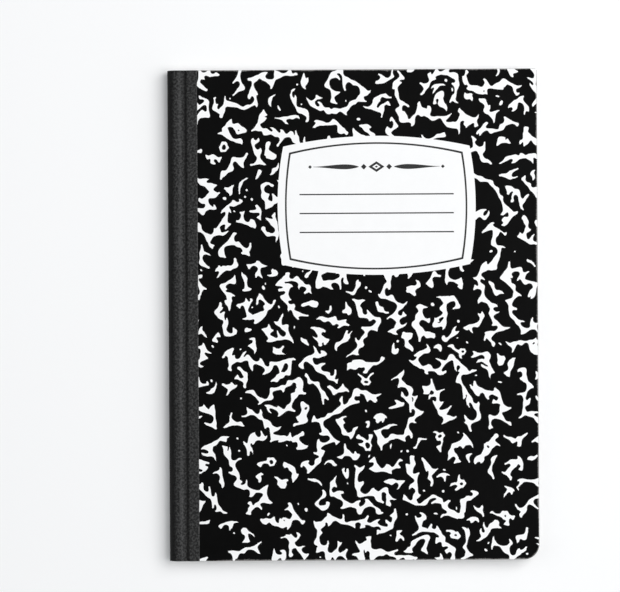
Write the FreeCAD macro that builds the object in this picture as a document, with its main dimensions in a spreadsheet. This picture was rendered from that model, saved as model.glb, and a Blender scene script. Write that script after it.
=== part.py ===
import FreeCAD, Part
import math
import os
import random
import re
import Sketcher

# Composition notebook, lying on its back cover.
# X runs from the spine to the fore-edge, Y from the foot to the head, Z from the back cover to the front.
# The origin is on the ground under the middle of the book. All sizes are millimetres.
#
# How the book is made: the sheets are folded once, sewn through the fold and trimmed flush with the
# covers. A cloth tape goes round the fold and over the near edge of both cover boards, and is pressed
# down into a groove beside each board. The groove is the cover's hinge.

SIZES = {
    "book_width": (186.6, "spine to fore-edge"),
    "book_height": (247.65, "foot to head"),
    "page_stack": (8.4, "the folded sheets, pressed flat"),
    "board_thickness": (1.0, "cover board with its printed paper"),
    "lining_thickness": (0.15, "paper glued inside each cover"),
    "tape_thickness": (0.25, "spine cloth with its glue"),
    "tape_reach": (15.2, "spine to the cut edge of the tape on a cover"),
    "groove_place": (9.1, "spine to the middle of the hinge groove"),
    "groove_radius": (1.6, "round bottom of the groove"),
    "groove_depth": (0.6, "how far the groove is pressed in"),
    "board_gap": (1.5, "middle of the groove to the edge of the board"),
    "head_corner": (1.0, "round of the fore-edge corner at the head"),
    "foot_corner": (7.6, "round of the fore-edge corner at the foot"),
    "print_thickness": (0.1, "ink and paper film that stands on a surface"),
    "label_place": (105.5, "spine to the middle of the label"),
    "label_drop": (68.6, "head to the middle of the label"),
    "label_width": (94.0, "label, between its corners"),
    "label_height": (59.7, "label, between its corners"),
    "label_side_bow": (2.95, "how far the label's left and right edges bow out"),
    "label_end_bow": (5.2, "how far its top and bottom edges bow out"),
    "frame_side_margin": (3.7, "label corner to frame corner, across"),
    "frame_end_margin": (3.25, "label corner to frame corner, along"),
    "frame_side_bow": (2.2, "how far the frame's left and right lines bow out"),
    "frame_end_bow": (5.05, "how far its top and bottom lines bow out"),
    "frame_line": (0.6, "width of the frame line"),
    "rule_margin": (4.4, "frame corner to the end of a writing rule"),
    "rule_line": (0.45, "width of a writing rule"),
    "rule_spacing": (9.55, "from rule to rule"),
    "rule_drop": (13.9, "ornament to the first rule"),
    "ornament_drop": (7.1, "frame corner to the middle of the ornament"),
    "ornament_margin": (8.8, "frame corner to the tip of the ornament"),
    "ornament_swell": (1.9, "thickest place of the swelled line"),
    "diamond_width": (7.6, "diamond in the middle of the ornament"),
    "diamond_height": (5.4, "the same, along the book"),
    "thread_width": (0.5, "sewing thread, pressed square"),
    "thread_bed": (0.05, "how deep the thread is pulled into the fold, under the cloth"),
    "stitch_length": (9.0, "from hole to hole along the fold"),
    "stitch_margin": (9.0, "least distance from the first hole to the foot"),
    "hinge_rise": (0.15, "hinge line above the outside of the tape"),
    "vein_length": (12.0, "from one meeting of the marbled veins to the next"),
}
RULE_COUNT = 3
MARBLING_SEEDS = {"front": 7, "back": 11}
# Shares of a vein: how far its ends wander, where its gap lies and how wide the gap is
VEIN_WANDER = 0.22
VEIN_SPLIT = (0.3, 0.7)
VEIN_GAP = (0.03, 0.16)
# How far a blot reaches between two of its arms, in shares of a vein
BLOT_NOTCH = (0.15, 0.27)

doc = FreeCAD.newDocument("composition_notebook")
sheet = doc.addObject("Spreadsheet::Sheet", "Sizes")
for row, (alias, (size, note)) in enumerate(SIZES.items(), start=1):
    sheet.set(f"A{row}", note)
    sheet.set(f"B{row}", str(size))
    sheet.setAlias(f"B{row}", alias)
doc.recompute()

# Places that several pieces share, as formulas in the sheet's own words
HALF_BOOK = "(page_stack / 2 + lining_thickness + board_thickness + tape_thickness)"
SPINE_EDGE = "(-book_width / 2)"
GROOVE_RISE = f"({HALF_BOOK} + groove_radius - groove_depth)"
BOARD_EDGE = "(groove_place + board_gap)"
LINING_PLACE = "(page_stack / 2)"
BOARD_PLACE = "(page_stack / 2 + lining_thickness)"
PRINT_PLACE = f"({HALF_BOOK} - tape_thickness)"
FRAME_WIDTH = "(label_width - 2 * frame_side_margin)"
FRAME_HEIGHT = "(label_height - 2 * frame_end_margin)"
ORNAMENT_RISE = f"({FRAME_HEIGHT} / 2 - ornament_drop)"
RULE_RISE = f"({ORNAMENT_RISE} - rule_drop)"
STITCH_COUNT = "floor((book_height - 2 * stitch_margin) / (2 * stitch_length))"


def in_sheet(formula):
    """Point each word of a formula that names a size at its cell."""
    return re.sub(r"[a-z_]+", lambda word: f"Sizes.{word[0]}" if word[0] in SIZES else word[0], formula)


def bind(thing, formulas):
    """Tie properties of an object to formulas of the sheet's sizes."""
    for name, formula in formulas.items():
        thing.setExpression(name, in_sheet(str(formula)))


def value(formula):
    """The present value of a formula, as a number."""
    return float(sheet.evalExpression(in_sheet(formula)))


SUB_PARTS = []


def finished(thing, label):
    """Name a sub-part, which also names its file."""
    thing.Label = label
    SUB_PARTS.append(thing)
    return thing


# Plain solids, placed from the spine edge, the middle of the height and the middle of the thickness

def box(name, x, z, length, thickness):
    """A block over the whole height of the book."""
    block = doc.addObject("Part::Box", name)
    bind(block, {
        "Length": length,
        "Width": "book_height",
        "Height": thickness,
        "Placement.Base.x": f"{SPINE_EDGE} + {x}",
        "Placement.Base.y": "-book_height / 2",
        "Placement.Base.z": f"{HALF_BOOK} + {z}",
    })
    return block


def rod(name, x, z, radius):
    """A cylinder along the whole height of the book."""
    bar = doc.addObject("Part::Cylinder", name)
    bar.Placement.Rotation = FreeCAD.Rotation(FreeCAD.Vector(1, 0, 0), 90)
    bind(bar, {
        "Radius": radius,
        "Height": "book_height",
        "Placement.Base.x": f"{SPINE_EDGE} + {x}",
        "Placement.Base.y": "book_height / 2",
        "Placement.Base.z": f"{HALF_BOOK} + {z}",
    })
    return bar


def joined(name, pieces):
    """Several solids as one."""
    fuse = doc.addObject("Part::MultiFuse", name)
    fuse.Shapes = pieces
    fuse.Refine = True
    return fuse


def cut(name, base, tool):
    """One solid with another taken out of it."""
    result = doc.addObject("Part::Cut", name)
    result.Base = base
    result.Tool = tool
    return result


def common(name, base, tool):
    """What two solids share."""
    result = doc.addObject("Part::Common", name)
    result.Base = base
    result.Tool = tool
    return result


def spine_form(name, inset):
    """The rounded spine with its two grooves, as the outside of the tape or, inset, as its inside."""
    half = f"({HALF_BOOK} - {inset})"
    nose = rod(f"{name}_nose", HALF_BOOK, "0", half)
    body = box(f"{name}_body", HALF_BOOK, f"-{half}", f"tape_reach - {HALF_BOOK}", f"2 * {half}")
    grooves = [
        rod(f"{name}_groove_{side}", "groove_place", f"{sign} * {GROOVE_RISE}", f"groove_radius + {inset}")
        for side, sign in (("top", 1), ("bottom", -1))
    ]
    return cut(name, joined(f"{name}_whole", [nose, body]), joined(f"{name}_grooves", grooves))


# Bodies drawn as a sketch and raised to a thickness

def raised_body(label, thickness, place, draw):
    """A flat piece: its outline is drawn by a function, and place is its lower corner."""
    body = doc.addObject("PartDesign::Body", label)
    sketch = body.newObject("Sketcher::SketchObject", f"{label}_outline")
    ground = next(face for face in body.Origin.OriginFeatures if face.Role == "XY_Plane")
    sketch.AttachmentSupport = [(ground, "")]
    sketch.MapMode = "FlatFace"
    draw(sketch)
    pad = body.newObject("PartDesign::Pad", f"{label}_pad")
    pad.Profile = sketch
    bind(pad, {"Length": thickness})
    sketch.Visibility = False
    bind(body, {f"Placement.Base.{axis}": formula for axis, formula in zip("xyz", place)})
    doc.recompute()
    return body


def measure(sketch, kind, points, formula):
    """A distance in a sketch, tied to a formula of the sheet."""
    number = sketch.addConstraint(Sketcher.Constraint(kind, *points, value(formula)))
    sketch.setExpression(f"Constraints[{number}]", in_sheet(formula))


def closed_lines(sketch, corners):
    """Lines from corner to corner and back to the first."""
    first = sketch.GeometryCount
    points = [FreeCAD.Vector(value(x), value(y), 0) for x, y in corners]
    for start, end in zip(points, points[1:] + points[:1]):
        sketch.addGeometry(Part.LineSegment(start, end))
    for index in range(len(points)):
        after = first + (index + 1) % len(points)
        sketch.addConstraint(Sketcher.Constraint("Coincident", first + index, 2, after, 1))
    for index, (x, y) in enumerate(corners):
        measure(sketch, "DistanceX", (-1, 1, first + index, 1), x)
        measure(sketch, "DistanceY", (-1, 1, first + index, 1), y)


def rectangle(sketch, left, right, low, high):
    """A rectangle between four formulas."""
    closed_lines(sketch, [(left, low), (right, low), (right, high), (left, high)])


def bow_radius(chord, bow):
    """Radius of an arc from its chord and how far it bows."""
    return f"((({chord}) / 2) ^ 2 + ({bow}) ^ 2) / (2 * ({bow}))"


def barrel(sketch, width, height, side_bow, end_bow):
    """A rectangle whose four edges bow outwards."""
    first = sketch.GeometryCount
    across, along = value(width) / 2, value(height) / 2
    far_across, far_along = across + value(side_bow), along + value(end_bow)
    corners = [(-across, -along), (across, -along), (across, along), (-across, along)]
    middles = [(0, -far_along), (far_across, 0), (0, far_along), (-far_across, 0)]
    for index, middle in enumerate(middles):
        stops = (corners[index], middle, corners[(index + 1) % 4])
        sketch.addGeometry(Part.Arc(*(FreeCAD.Vector(x, y, 0) for x, y in stops)))
    for index in range(4):
        sketch.addConstraint(Sketcher.Constraint("Coincident", first + index, 2, first + (index + 1) % 4, 1))
    corner = {"foot_left": (first, 1), "foot_right": (first, 2), "head_right": (first + 2, 1)}
    sketch.addConstraint(Sketcher.Constraint("Symmetric", *corner["foot_left"], *corner["foot_right"], -2))
    sketch.addConstraint(Sketcher.Constraint("Symmetric", *corner["foot_right"], *corner["head_right"], -1))
    sketch.addConstraint(Sketcher.Constraint("Symmetric", first + 2, 2, *corner["head_right"], -2))
    measure(sketch, "DistanceX", (*corner["foot_left"], *corner["foot_right"]), width)
    measure(sketch, "DistanceY", (*corner["foot_right"], *corner["head_right"]), height)
    for index, (chord, bow) in enumerate([(width, end_bow), (height, side_bow)] * 2):
        measure(sketch, "Radius", (first + index,), bow_radius(chord, bow))


def round_corner(body, name, x, y, radius):
    """Round the upright edge of a body that stands at a place."""
    spot = (value(x), value(y))
    base = body.Tip
    names = [
        f"Edge{number}" for number, edge in enumerate(base.Shape.Edges, start=1)
        if all(math.dist((end.X, end.Y), spot) < 0.001 for end in edge.Vertexes)
    ]
    fillet = body.newObject("PartDesign::Fillet", name)
    fillet.Base = (base, names)
    bind(fillet, {"Radius": radius})
    doc.recompute()


def trimmed_sheet(label, left, thickness, low):
    """A sheet or stack trimmed to the outline of the book: square at the head, rounded at the foot."""
    outline = (left, "book_width", "-book_height / 2", "book_height / 2")
    body = raised_body(label, thickness, (SPINE_EDGE, "0", low), lambda sketch: rectangle(sketch, *outline))
    round_corner(body, f"{label}_head", "book_width", "book_height / 2", "head_corner")
    round_corner(body, f"{label}_foot", "book_width", "-book_height / 2", "foot_corner")
    return body


# The block of sheets and what holds it

def sewing_thread():
    """A running stitch through the fold: out, along, back in and along again."""
    body = doc.addObject("PartDesign::Body", "sewing_thread")
    fold_depth = "(page_stack / 2)"
    runs = {
        "leg_in": ("0", "0", f"{fold_depth} + thread_width", "thread_width"),
        "inner_run": (fold_depth, "0", "thread_width", "stitch_length"),
        "leg_out": ("0", "stitch_length", f"{fold_depth} + thread_width", "thread_width"),
        "outer_run": ("0", "stitch_length", "thread_width", "stitch_length + thread_width"),
    }
    stitches = []
    for name, (x, y, length, width) in runs.items():
        run = body.newObject("PartDesign::AdditiveBox", f"thread_{name}")
        bind(run, {"Length": length, "Width": width, "Height": "thread_width"})
        bind(run, {"Placement.Base.x": x, "Placement.Base.y": y})
        stitches.append(run)
    doc.recompute()
    row = body.newObject("PartDesign::LinearPattern", "thread_row")
    row.Originals = stitches
    along = next(axis for axis in body.Origin.OriginFeatures if axis.Role == "Y_Axis")
    row.Direction = (along, [""])
    bind(row, {"Occurrences": STITCH_COUNT, "Length": f"2 * stitch_length * ({STITCH_COUNT} - 1)"})
    body.Tip = row
    bind(body, {
        "Placement.Base.x": f"{SPINE_EDGE} + tape_thickness + thread_bed",
        "Placement.Base.y": f"-stitch_length * {STITCH_COUNT} - thread_width / 2",
        "Placement.Base.z": f"{HALF_BOOK} - thread_width / 2",
    })
    return finished(body, "sewing_thread")


def page_block(thread):
    """The trimmed sheets, thicker at the fold, where they fill the rounded spine."""
    inside = spine_form("fold", "tape_thickness")
    reach = box("fold_reach", "0", f"-{HALF_BOOK}", "groove_place", f"2 * {HALF_BOOK}")
    fold = common("fold_part", inside, reach)
    pages = trimmed_sheet("pages", HALF_BOOK, "page_stack", f"{HALF_BOOK} - page_stack / 2")
    return finished(cut("sewn_pages", joined("all_pages", [fold, pages]), thread), "page_block")


def spine_tape_pieces():
    """One strip of cloth, parted at the two hinge lines so that each cover can swing."""
    outside = spine_form("tape_outside", "0")
    inside = spine_form("tape_inside", "tape_thickness")
    strip = cut("tape_strip", outside, inside)
    middle = box("tape_middle", "0", f"-{HALF_BOOK}", "groove_place", f"2 * {HALF_BOOK}")
    finished(common("tape_round_spine", strip, middle), "spine_tape")
    flaps = {}
    for side, low in (("front", "0"), ("back", f"-{HALF_BOOK}")):
        room = box(f"{side}_flap_room", "groove_place", low, "tape_reach", HALF_BOOK)
        flaps[side] = finished(common(f"{side}_flap", strip, room), f"{side}_tape")
    return flaps


# The covers

def above(place, thickness, side):
    """Height of the lower face of a layer that starts at a distance from the middle of the book."""
    if side == "front":
        return f"{HALF_BOOK} + {place}"
    return f"{HALF_BOOK} - {place} - {thickness}"


def cover(side):
    """Board and lining paper of one cover; returns the board."""
    lining_low = above(LINING_PLACE, "lining_thickness", side)
    lining = trimmed_sheet(f"{side}_lining", "groove_place", "lining_thickness", lining_low)
    finished(lining, f"{side}_lining_paper")
    board_low = above(BOARD_PLACE, "board_thickness", side)
    board = trimmed_sheet(f"{side}_board", BOARD_EDGE, "board_thickness", board_low)
    return finished(board, f"{side}_cover_board")


def label_print(name, layer, draw):
    """A printed piece of the front label; layer counts the films under it."""
    place = (
        f"{SPINE_EDGE} + label_place",
        "book_height / 2 - label_drop",
        f"{HALF_BOOK} + {PRINT_PLACE} + {layer} * print_thickness",
    )
    return finished(raised_body(name, "print_thickness", place, draw), name)


def frame_outline(sketch):
    """The frame line: its outer and inner edge."""
    barrel(sketch, FRAME_WIDTH, FRAME_HEIGHT, "frame_side_bow", "frame_end_bow")
    inner = (f"{FRAME_WIDTH} - 2 * frame_line", f"{FRAME_HEIGHT} - 2 * frame_line")
    barrel(sketch, *inner, "frame_side_bow", "frame_end_bow")


def rules_outline(sketch):
    """The writing rules, one under the other."""
    half = f"({FRAME_WIDTH} / 2 - rule_margin)"
    for number in range(RULE_COUNT):
        middle = f"{RULE_RISE} - {number} * rule_spacing"
        rectangle(sketch, f"-{half}", half, f"{middle} - rule_line / 2", f"{middle} + rule_line / 2")


def ornament_outline(sketch):
    """A printer's swelled rule: a diamond between two long tapered darts."""
    middle = ORNAMENT_RISE
    tip = f"({FRAME_WIDTH} / 2 - ornament_margin)"
    inner = "(diamond_width / 2 + ornament_swell)"
    rise = "diamond_height / 2"
    closed_lines(sketch, [
        ("-diamond_width / 2", middle),
        ("0", f"{middle} - {rise}"),
        ("diamond_width / 2", middle),
        ("0", f"{middle} + {rise}"),
    ])
    for sign in ("-1", "1"):
        closed_lines(sketch, [
            (f"{sign} * {inner}", middle),
            (f"{sign} * ({inner} + ornament_swell)", f"{middle} - ornament_swell / 2"),
            (f"{sign} * {tip}", middle),
            (f"{sign} * ({inner} + ornament_swell)", f"{middle} + ornament_swell / 2"),
        ])


def label():
    """The label of the front cover; returns its white panel."""
    panel_size = ("label_width", "label_height", "label_side_bow", "label_end_bow")
    panel = label_print("label_panel", 0, lambda sketch: barrel(sketch, *panel_size))
    label_print("label_frame", 1, frame_outline)
    label_print("label_rules", 1, rules_outline)
    label_print("label_ornament", 1, ornament_outline)
    return panel


# The marbling: white blots with three tapering arms, in the gaps between round black drops

def vein_meeting(seed, column, level):
    """Where three veins meet: a corner of a honeycomb of unit sides, moved a little by chance."""
    chance = random.Random(f"{seed} {column} {level}")
    lift = 0.25 if (column + level) % 2 == 0 else -0.25
    x = column * math.sqrt(0.75) + chance.uniform(-VEIN_WANDER, VEIN_WANDER)
    y = level * 1.5 + lift + chance.uniform(-VEIN_WANDER, VEIN_WANDER)
    return FreeCAD.Vector(x, y, 0) * value("vein_length")


def vein_neighbours(column, level):
    """The three corners of the honeycomb next to one, in order round it."""
    if (column + level) % 2 == 0:
        return [(column + 1, level), (column, level + 1), (column - 1, level)]
    return [(column + 1, level), (column - 1, level), (column, level - 1)]


def vein_share(seed, one, other):
    """How much of the vein between two meetings the first one's arm fills; a gap stays between."""
    chance = random.Random(f"{seed} {sorted((one, other))}")
    split = chance.uniform(*VEIN_SPLIT)
    gap = chance.uniform(*VEIN_GAP)
    return (split if one < other else 1 - split) * (1 - gap)


def blot(seed, column, level):
    """One white blot as a flat face: a tip along each vein and a notch between them."""
    here = (column, level)
    middle = vein_meeting(seed, column, level)
    chance = random.Random(f"{seed} {here}")
    around = vein_neighbours(column, level)
    arms = [vein_meeting(seed, *other) - middle for other in around]
    corners = []
    for arm, after, other in zip(arms, arms[1:] + arms[:1], around):
        corners.append(middle + arm * vein_share(seed, here, other))
        between = arm / arm.Length + after / after.Length
        notch = value("vein_length") * chance.uniform(*BLOT_NOTCH)
        corners.append(middle + between / between.Length * notch)
    return Part.Face(Part.makePolygon(corners + corners[:1]))


def cover_blots(seed, height):
    """All the blots that a cover could hold, as flat faces at a height."""
    columns = math.ceil(value("book_width / vein_length") / math.sqrt(0.75)) + 1
    levels = math.ceil(value("book_height / vein_length") / 3) + 1
    blots = []
    for column in range(columns):
        for level in range(-levels, levels + 1):
            face = blot(seed, column, level)
            face.translate(FreeCAD.Vector(value(SPINE_EDGE), 0, height))
            blots.append(face)
    return blots


def lies_free(blot_box, cover_box, taken):
    """Whether a blot is well inside the cover and away from the tape and the label."""
    margin = value("foot_corner") / 3
    return (
        cover_box.XMin + margin < blot_box.XMin and blot_box.XMax < cover_box.XMax - margin
        and cover_box.YMin + margin < blot_box.YMin and blot_box.YMax < cover_box.YMax - margin
        and not any(blot_box.intersect(other) for other in taken)
    )


def marbling(side, board, keep_off):
    """The blots of one cover, trimmed to its board and clear of the tape and the label."""
    outwards = 1 if side == "front" else -1
    board_face = max(board.Shape.Faces, key=lambda face: outwards * face.CenterOfMass.z)
    taken = [piece.Shape.BoundBox for piece in keep_off]
    room = board_face.cut(Part.makeCompound([piece.Shape for piece in keep_off]))
    whole = []
    to_trim = []
    for face in cover_blots(MARBLING_SEEDS[side], board_face.CenterOfMass.z):
        (whole if lies_free(face.BoundBox, room.BoundBox, taken) else to_trim).append(face)
    trimmed = Part.makeCompound(to_trim).common(room).Faces
    film = FreeCAD.Vector(0, 0, outwards * value("print_thickness"))
    feature = doc.addObject("Part::Feature", f"{side}_ink")
    feature.Shape = Part.makeCompound([face.extrude(film) for face in whole + trimmed])
    feature.Placement = FreeCAD.Placement()
    return finished(feature, f"{side}_marbling")


def check(thing):
    """Stop if an object did not come out."""
    if "Invalid" in thing.State or "Error" in thing.State:
        raise RuntimeError(f"{thing.Label} failed: {thing.State}")


thread = sewing_thread()
page_block(thread)
flaps = spine_tape_pieces()
boards = {side: cover(side) for side in ("front", "back")}
panel = label()
doc.recompute()
marbling("front", boards["front"], [flaps["front"], panel])
marbling("back", boards["back"], [flaps["back"]])
doc.recompute()

for thing in doc.Objects:
    check(thing)
os.makedirs("parts", exist_ok=True)
for part in SUB_PARTS:
    shape = part.Shape
    if shape.isNull() or not shape.isValid() or not shape.Solids:
        raise RuntimeError(f"{part.Label} has no valid solid")
    shape.exportStep(os.path.join("parts", f"{part.Label}.step"))
    low, high = shape.BoundBox.ZMin, shape.BoundBox.ZMax
    print(f"{part.Label}: {len(shape.Solids)} solids, {shape.Volume:.1f} mm3, z {low:.2f} to {high:.2f}")
hinge = value(HALF_BOOK) + value(HALF_BOOK) + value("hinge_rise")
print(f"hinge lines at x {value(SPINE_EDGE + ' + groove_place'):.2f}, z {hinge:.2f} and {-value('hinge_rise'):.2f}")
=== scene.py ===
# %% [markdown]
# # A composition notebook, dressed in Blender
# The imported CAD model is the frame: a page block sewn through its fold, two boards with printed paper,
# linings, and a cloth tape round the spine. This script gives each piece its real surface.
# Everything is in metres in the frame's own place; the helpers take millimetres, as a bookbinder would.

# %% Load the frame
import math
import random

import bmesh
import bpy
import numpy as np
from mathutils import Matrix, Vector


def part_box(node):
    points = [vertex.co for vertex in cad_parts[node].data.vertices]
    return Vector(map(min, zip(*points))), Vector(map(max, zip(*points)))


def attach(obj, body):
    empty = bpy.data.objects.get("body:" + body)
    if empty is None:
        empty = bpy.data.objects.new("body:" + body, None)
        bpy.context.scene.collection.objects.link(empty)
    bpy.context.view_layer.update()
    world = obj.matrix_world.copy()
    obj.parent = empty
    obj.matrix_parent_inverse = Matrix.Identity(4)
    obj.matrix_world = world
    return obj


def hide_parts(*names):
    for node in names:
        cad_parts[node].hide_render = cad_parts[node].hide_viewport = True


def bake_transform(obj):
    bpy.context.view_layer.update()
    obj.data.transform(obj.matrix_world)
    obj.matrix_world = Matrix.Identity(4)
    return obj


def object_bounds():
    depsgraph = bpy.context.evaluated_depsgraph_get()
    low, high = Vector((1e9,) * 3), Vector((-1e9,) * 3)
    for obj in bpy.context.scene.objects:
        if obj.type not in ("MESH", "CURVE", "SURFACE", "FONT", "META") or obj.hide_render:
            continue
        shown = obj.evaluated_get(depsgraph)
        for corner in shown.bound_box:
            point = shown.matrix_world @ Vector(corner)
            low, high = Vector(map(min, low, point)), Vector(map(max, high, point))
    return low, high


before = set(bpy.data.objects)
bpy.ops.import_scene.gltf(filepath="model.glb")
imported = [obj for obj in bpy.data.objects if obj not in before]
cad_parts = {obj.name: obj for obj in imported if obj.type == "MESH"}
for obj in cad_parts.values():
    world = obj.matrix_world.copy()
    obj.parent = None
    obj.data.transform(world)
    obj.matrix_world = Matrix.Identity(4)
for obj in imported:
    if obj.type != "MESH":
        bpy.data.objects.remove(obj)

CAD_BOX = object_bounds()
MM = 0.001
print("frame box in mm:", [[round(v / MM, 2) for v in corner] for corner in CAD_BOX])


def cad_box(node):
    """The lowest and highest corner of a CAD node, in millimetres."""
    low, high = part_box(node)
    return [v / MM for v in low], [v / MM for v in high]


# %% [markdown]
# ## Sizes
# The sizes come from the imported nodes, so the pieces made here always meet the solids that they stand for.
# The fore-edge corner is square at the head and round at the foot, because one cutter trims the whole book.

# %% Measure the book
(BOOK_LEFT, BOOK_FOOT, BOOK_BOTTOM), (BOOK_RIGHT, BOOK_HEAD, BOOK_TOP) = (
    [v / MM for v in corner] for corner in CAD_BOX
)
MIDDLE = (BOOK_BOTTOM + BOOK_TOP) / 2
BOARD_LOW, BOARD_HIGH = cad_box("front_cover_board")
TAPE_EDGE = cad_box("front_tape")[1][0]
HINGE = cad_box("front_tape")[0][0]
HEAD_CORNER = 1.0
FOOT_CORNER = 7.6
CLOTH = 0.25
print("book", round(BOOK_RIGHT - BOOK_LEFT, 2), "x", round(BOOK_HEAD - BOOK_FOOT, 2),
      "mm, hinge line at", round(HINGE, 2), "and tape edge at", round(TAPE_EDGE, 2))

# %% [markdown]
# ## Camera, lights and floor
# The book is seen straight from above, so the camera hangs over it with a long lens, which keeps the
# edges square. It turns a little, because the book lies a little askew.
# Two soft lights stand to the sides, as on a copy stand: a glossy print then doesn't mirror them.
# The stronger one is on the right, so the rounded spine falls off into dark.

# %% Camera
IMAGE_SIZE = (620, 592)
MM_PER_PIXEL = 0.5044
BOOK_PIXEL = (353.1, 314.9)
CAMERA_HEIGHT = 1500.0
BOOK_TURN = math.radians(0.33)


def add_camera():
    camera = bpy.data.objects.new("camera", bpy.data.cameras.new("camera"))
    bpy.context.scene.collection.objects.link(camera)
    right = (BOOK_PIXEL[0] - IMAGE_SIZE[0] / 2) * MM_PER_PIXEL
    down = (BOOK_PIXEL[1] - IMAGE_SIZE[1] / 2) * MM_PER_PIXEL
    turn = -BOOK_TURN
    book = ((BOOK_LEFT + BOOK_RIGHT) / 2, (BOOK_FOOT + BOOK_HEAD) / 2)
    x = book[0] - right * math.cos(turn) - down * math.sin(turn)
    y = book[1] - right * math.sin(turn) + down * math.cos(turn)
    camera.location = (x * MM, y * MM, (BOOK_TOP + CAMERA_HEIGHT) * MM)
    camera.rotation_euler = (0, 0, turn)
    camera.data.sensor_width = 36
    camera.data.lens = 36 * CAMERA_HEIGHT / (IMAGE_SIZE[0] * MM_PER_PIXEL)
    bpy.context.scene.camera = camera
    return camera


camera = add_camera()
bpy.context.scene.view_settings.view_transform = "Standard"
print("lens", round(camera.data.lens, 1), "mm")

# %% Lights


def add_light(name, side, lean, distance, size, watts):
    """A square soft light that leans from straight above the book towards one side, in degrees."""
    data = bpy.data.lights.new(name, "AREA")
    data.size = size
    data.energy = watts
    light = bpy.data.objects.new(name, data)
    bpy.context.scene.collection.objects.link(light)
    side, lean = math.radians(side), math.radians(lean)
    light.location = (
        distance * math.sin(lean) * math.cos(side),
        distance * math.sin(lean) * math.sin(side),
        distance * math.cos(lean),
    )
    light.rotation_euler = (0, lean, side)


add_light("right_softbox", side=20, lean=30, distance=1.6, size=1.3, watts=20.5)
add_light("left_softbox", side=170, lean=42, distance=1.8, size=1.5, watts=6)

world = bpy.data.worlds.new("studio")
world.use_nodes = True
world.node_tree.nodes["Background"].inputs["Color"].default_value = (0.94, 0.97, 1.0, 1)
world.node_tree.nodes["Background"].inputs["Strength"].default_value = 0.37
bpy.context.scene.world = world
print("two softboxes and a pale room")

# %% [markdown]
# ## Small tools for meshes and materials
# Each mesh is made from points in millimetres. Materials are node trees, and a short helper keeps each
# node on one line: it makes the node, sets its values and links what comes in.

# %% Mesh helper


def make_piece(name, points, faces, materials, face_slots=None):
    """A mesh object from points in millimetres; face_slots says which material each face takes."""
    mesh = bpy.data.meshes.new(name)
    mesh.from_pydata((np.asarray(points, float) * MM).tolist(), [], faces)
    for material in materials:
        mesh.materials.append(material)
    if face_slots is not None:
        mesh.polygons.foreach_set("material_index", face_slots)
    mesh.update()
    piece = bpy.data.objects.new(name, mesh)
    bpy.context.scene.collection.objects.link(piece)
    return piece


def point_values(piece, name, values):
    """Keep one number for each point of a piece, for its material to read."""
    attribute = piece.data.attributes.new(name, "FLOAT", "POINT")
    attribute.data.foreach_set("value", np.asarray(values, np.float32))


def smooth(piece, angle=35):
    """Shade a piece smoothly, with a crease wherever it turns by more than an angle."""
    piece.data.shade_smooth()
    piece.data.set_sharp_from_angle(angle=math.radians(angle))


def tell(piece):
    """Say how large a piece came out."""
    triangles = sum(len(face.vertices) - 2 for face in piece.data.polygons)
    print(piece.name, "has", triangles, "triangles")


# %% Node helpers


def feed(tree, node, inputs):
    """Fill a node's inputs: with a link where another node's socket is given, or else with the value."""
    for socket, value in inputs.items():
        if isinstance(value, bpy.types.NodeSocket):
            tree.links.new(value, node.inputs[socket])
        else:
            node.inputs[socket].default_value = value


def add(tree, kind, inputs=None, **settings):
    """Put a node in a tree, with its settings and inputs."""
    node = tree.nodes.new(kind)
    for key, value in settings.items():
        setattr(node, key, value)
    feed(tree, node, inputs or {})
    return node


def math_node(tree, operation, a, b=0.0, c=0.0):
    return add(tree, "ShaderNodeMath", {0: a, 1: b, 2: c}, operation=operation).outputs[0]


def times(tree, a, b):
    return math_node(tree, "MULTIPLY", a, b)


def ramp(tree, value, low, high, out_low=0.0, out_high=1.0):
    """Map low..high to out_low..out_high, smoothly and held at both ends."""
    inputs = {"Value": value, "From Min": low, "From Max": high, "To Min": out_low, "To Max": out_high}
    return add(tree, "ShaderNodeMapRange", inputs, interpolation_type="SMOOTHSTEP").outputs["Result"]


def blend_colours(tree, share, first, second, how="MIX"):
    inputs = {0: share, 6: first, 7: second}
    return add(tree, "ShaderNodeMix", inputs, data_type="RGBA", blend_type=how).outputs[2]


def grey(value, warm=0.0):
    """A grey, a little warm or cool, as a colour socket wants it."""
    return (value * (1 + warm), value, value * (1 - warm), 1)


def noise(tree, where, scale, detail=2.0, roughness=0.5):
    inputs = {"Vector": where, "Scale": scale, "Detail": detail, "Roughness": roughness}
    return add(tree, "ShaderNodeTexNoise", inputs).outputs["Fac"]


def noise_colour(tree, where, scale):
    """Three noises at once, to push a place about."""
    return add(tree, "ShaderNodeTexNoise", {"Vector": where, "Scale": scale}).outputs["Color"]


def own_place(tree):
    return add(tree, "ShaderNodeTexCoord").outputs["Object"]


def stretched(tree, where, scale):
    return add(tree, "ShaderNodeMapping", {"Vector": where, "Scale": scale}).outputs["Vector"]


def new_material(name):
    """An empty material: its tree, its Principled shader and itself."""
    material = bpy.data.materials.new(name)
    material.use_nodes = True
    tree = material.node_tree
    return tree, tree.nodes["Principled BSDF"], material


def new_group(name, inputs, outputs):
    """A shader node group of float inputs and outputs: its tree, what it is given, and its output node."""
    group = bpy.data.node_groups.new(name, "ShaderNodeTree")
    for socket, value in inputs.items():
        made = group.interface.new_socket(socket, in_out="INPUT", socket_type="NodeSocketFloat")
        made.default_value = value
    for socket in outputs:
        group.interface.new_socket(socket, in_out="OUTPUT", socket_type="NodeSocketFloat")
    return group, group.nodes.new("NodeGroupInput").outputs, group.nodes.new("NodeGroupOutput")


def use_group(tree, group, **values):
    """Put a group in a tree: its input Fibre scale is given as fibre_scale, and so on."""
    node = add(tree, "ShaderNodeGroup", node_tree=group)
    feed(tree, node, {name.replace("_", " ").capitalize(): value for name, value in values.items()})
    return node.outputs


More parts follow.
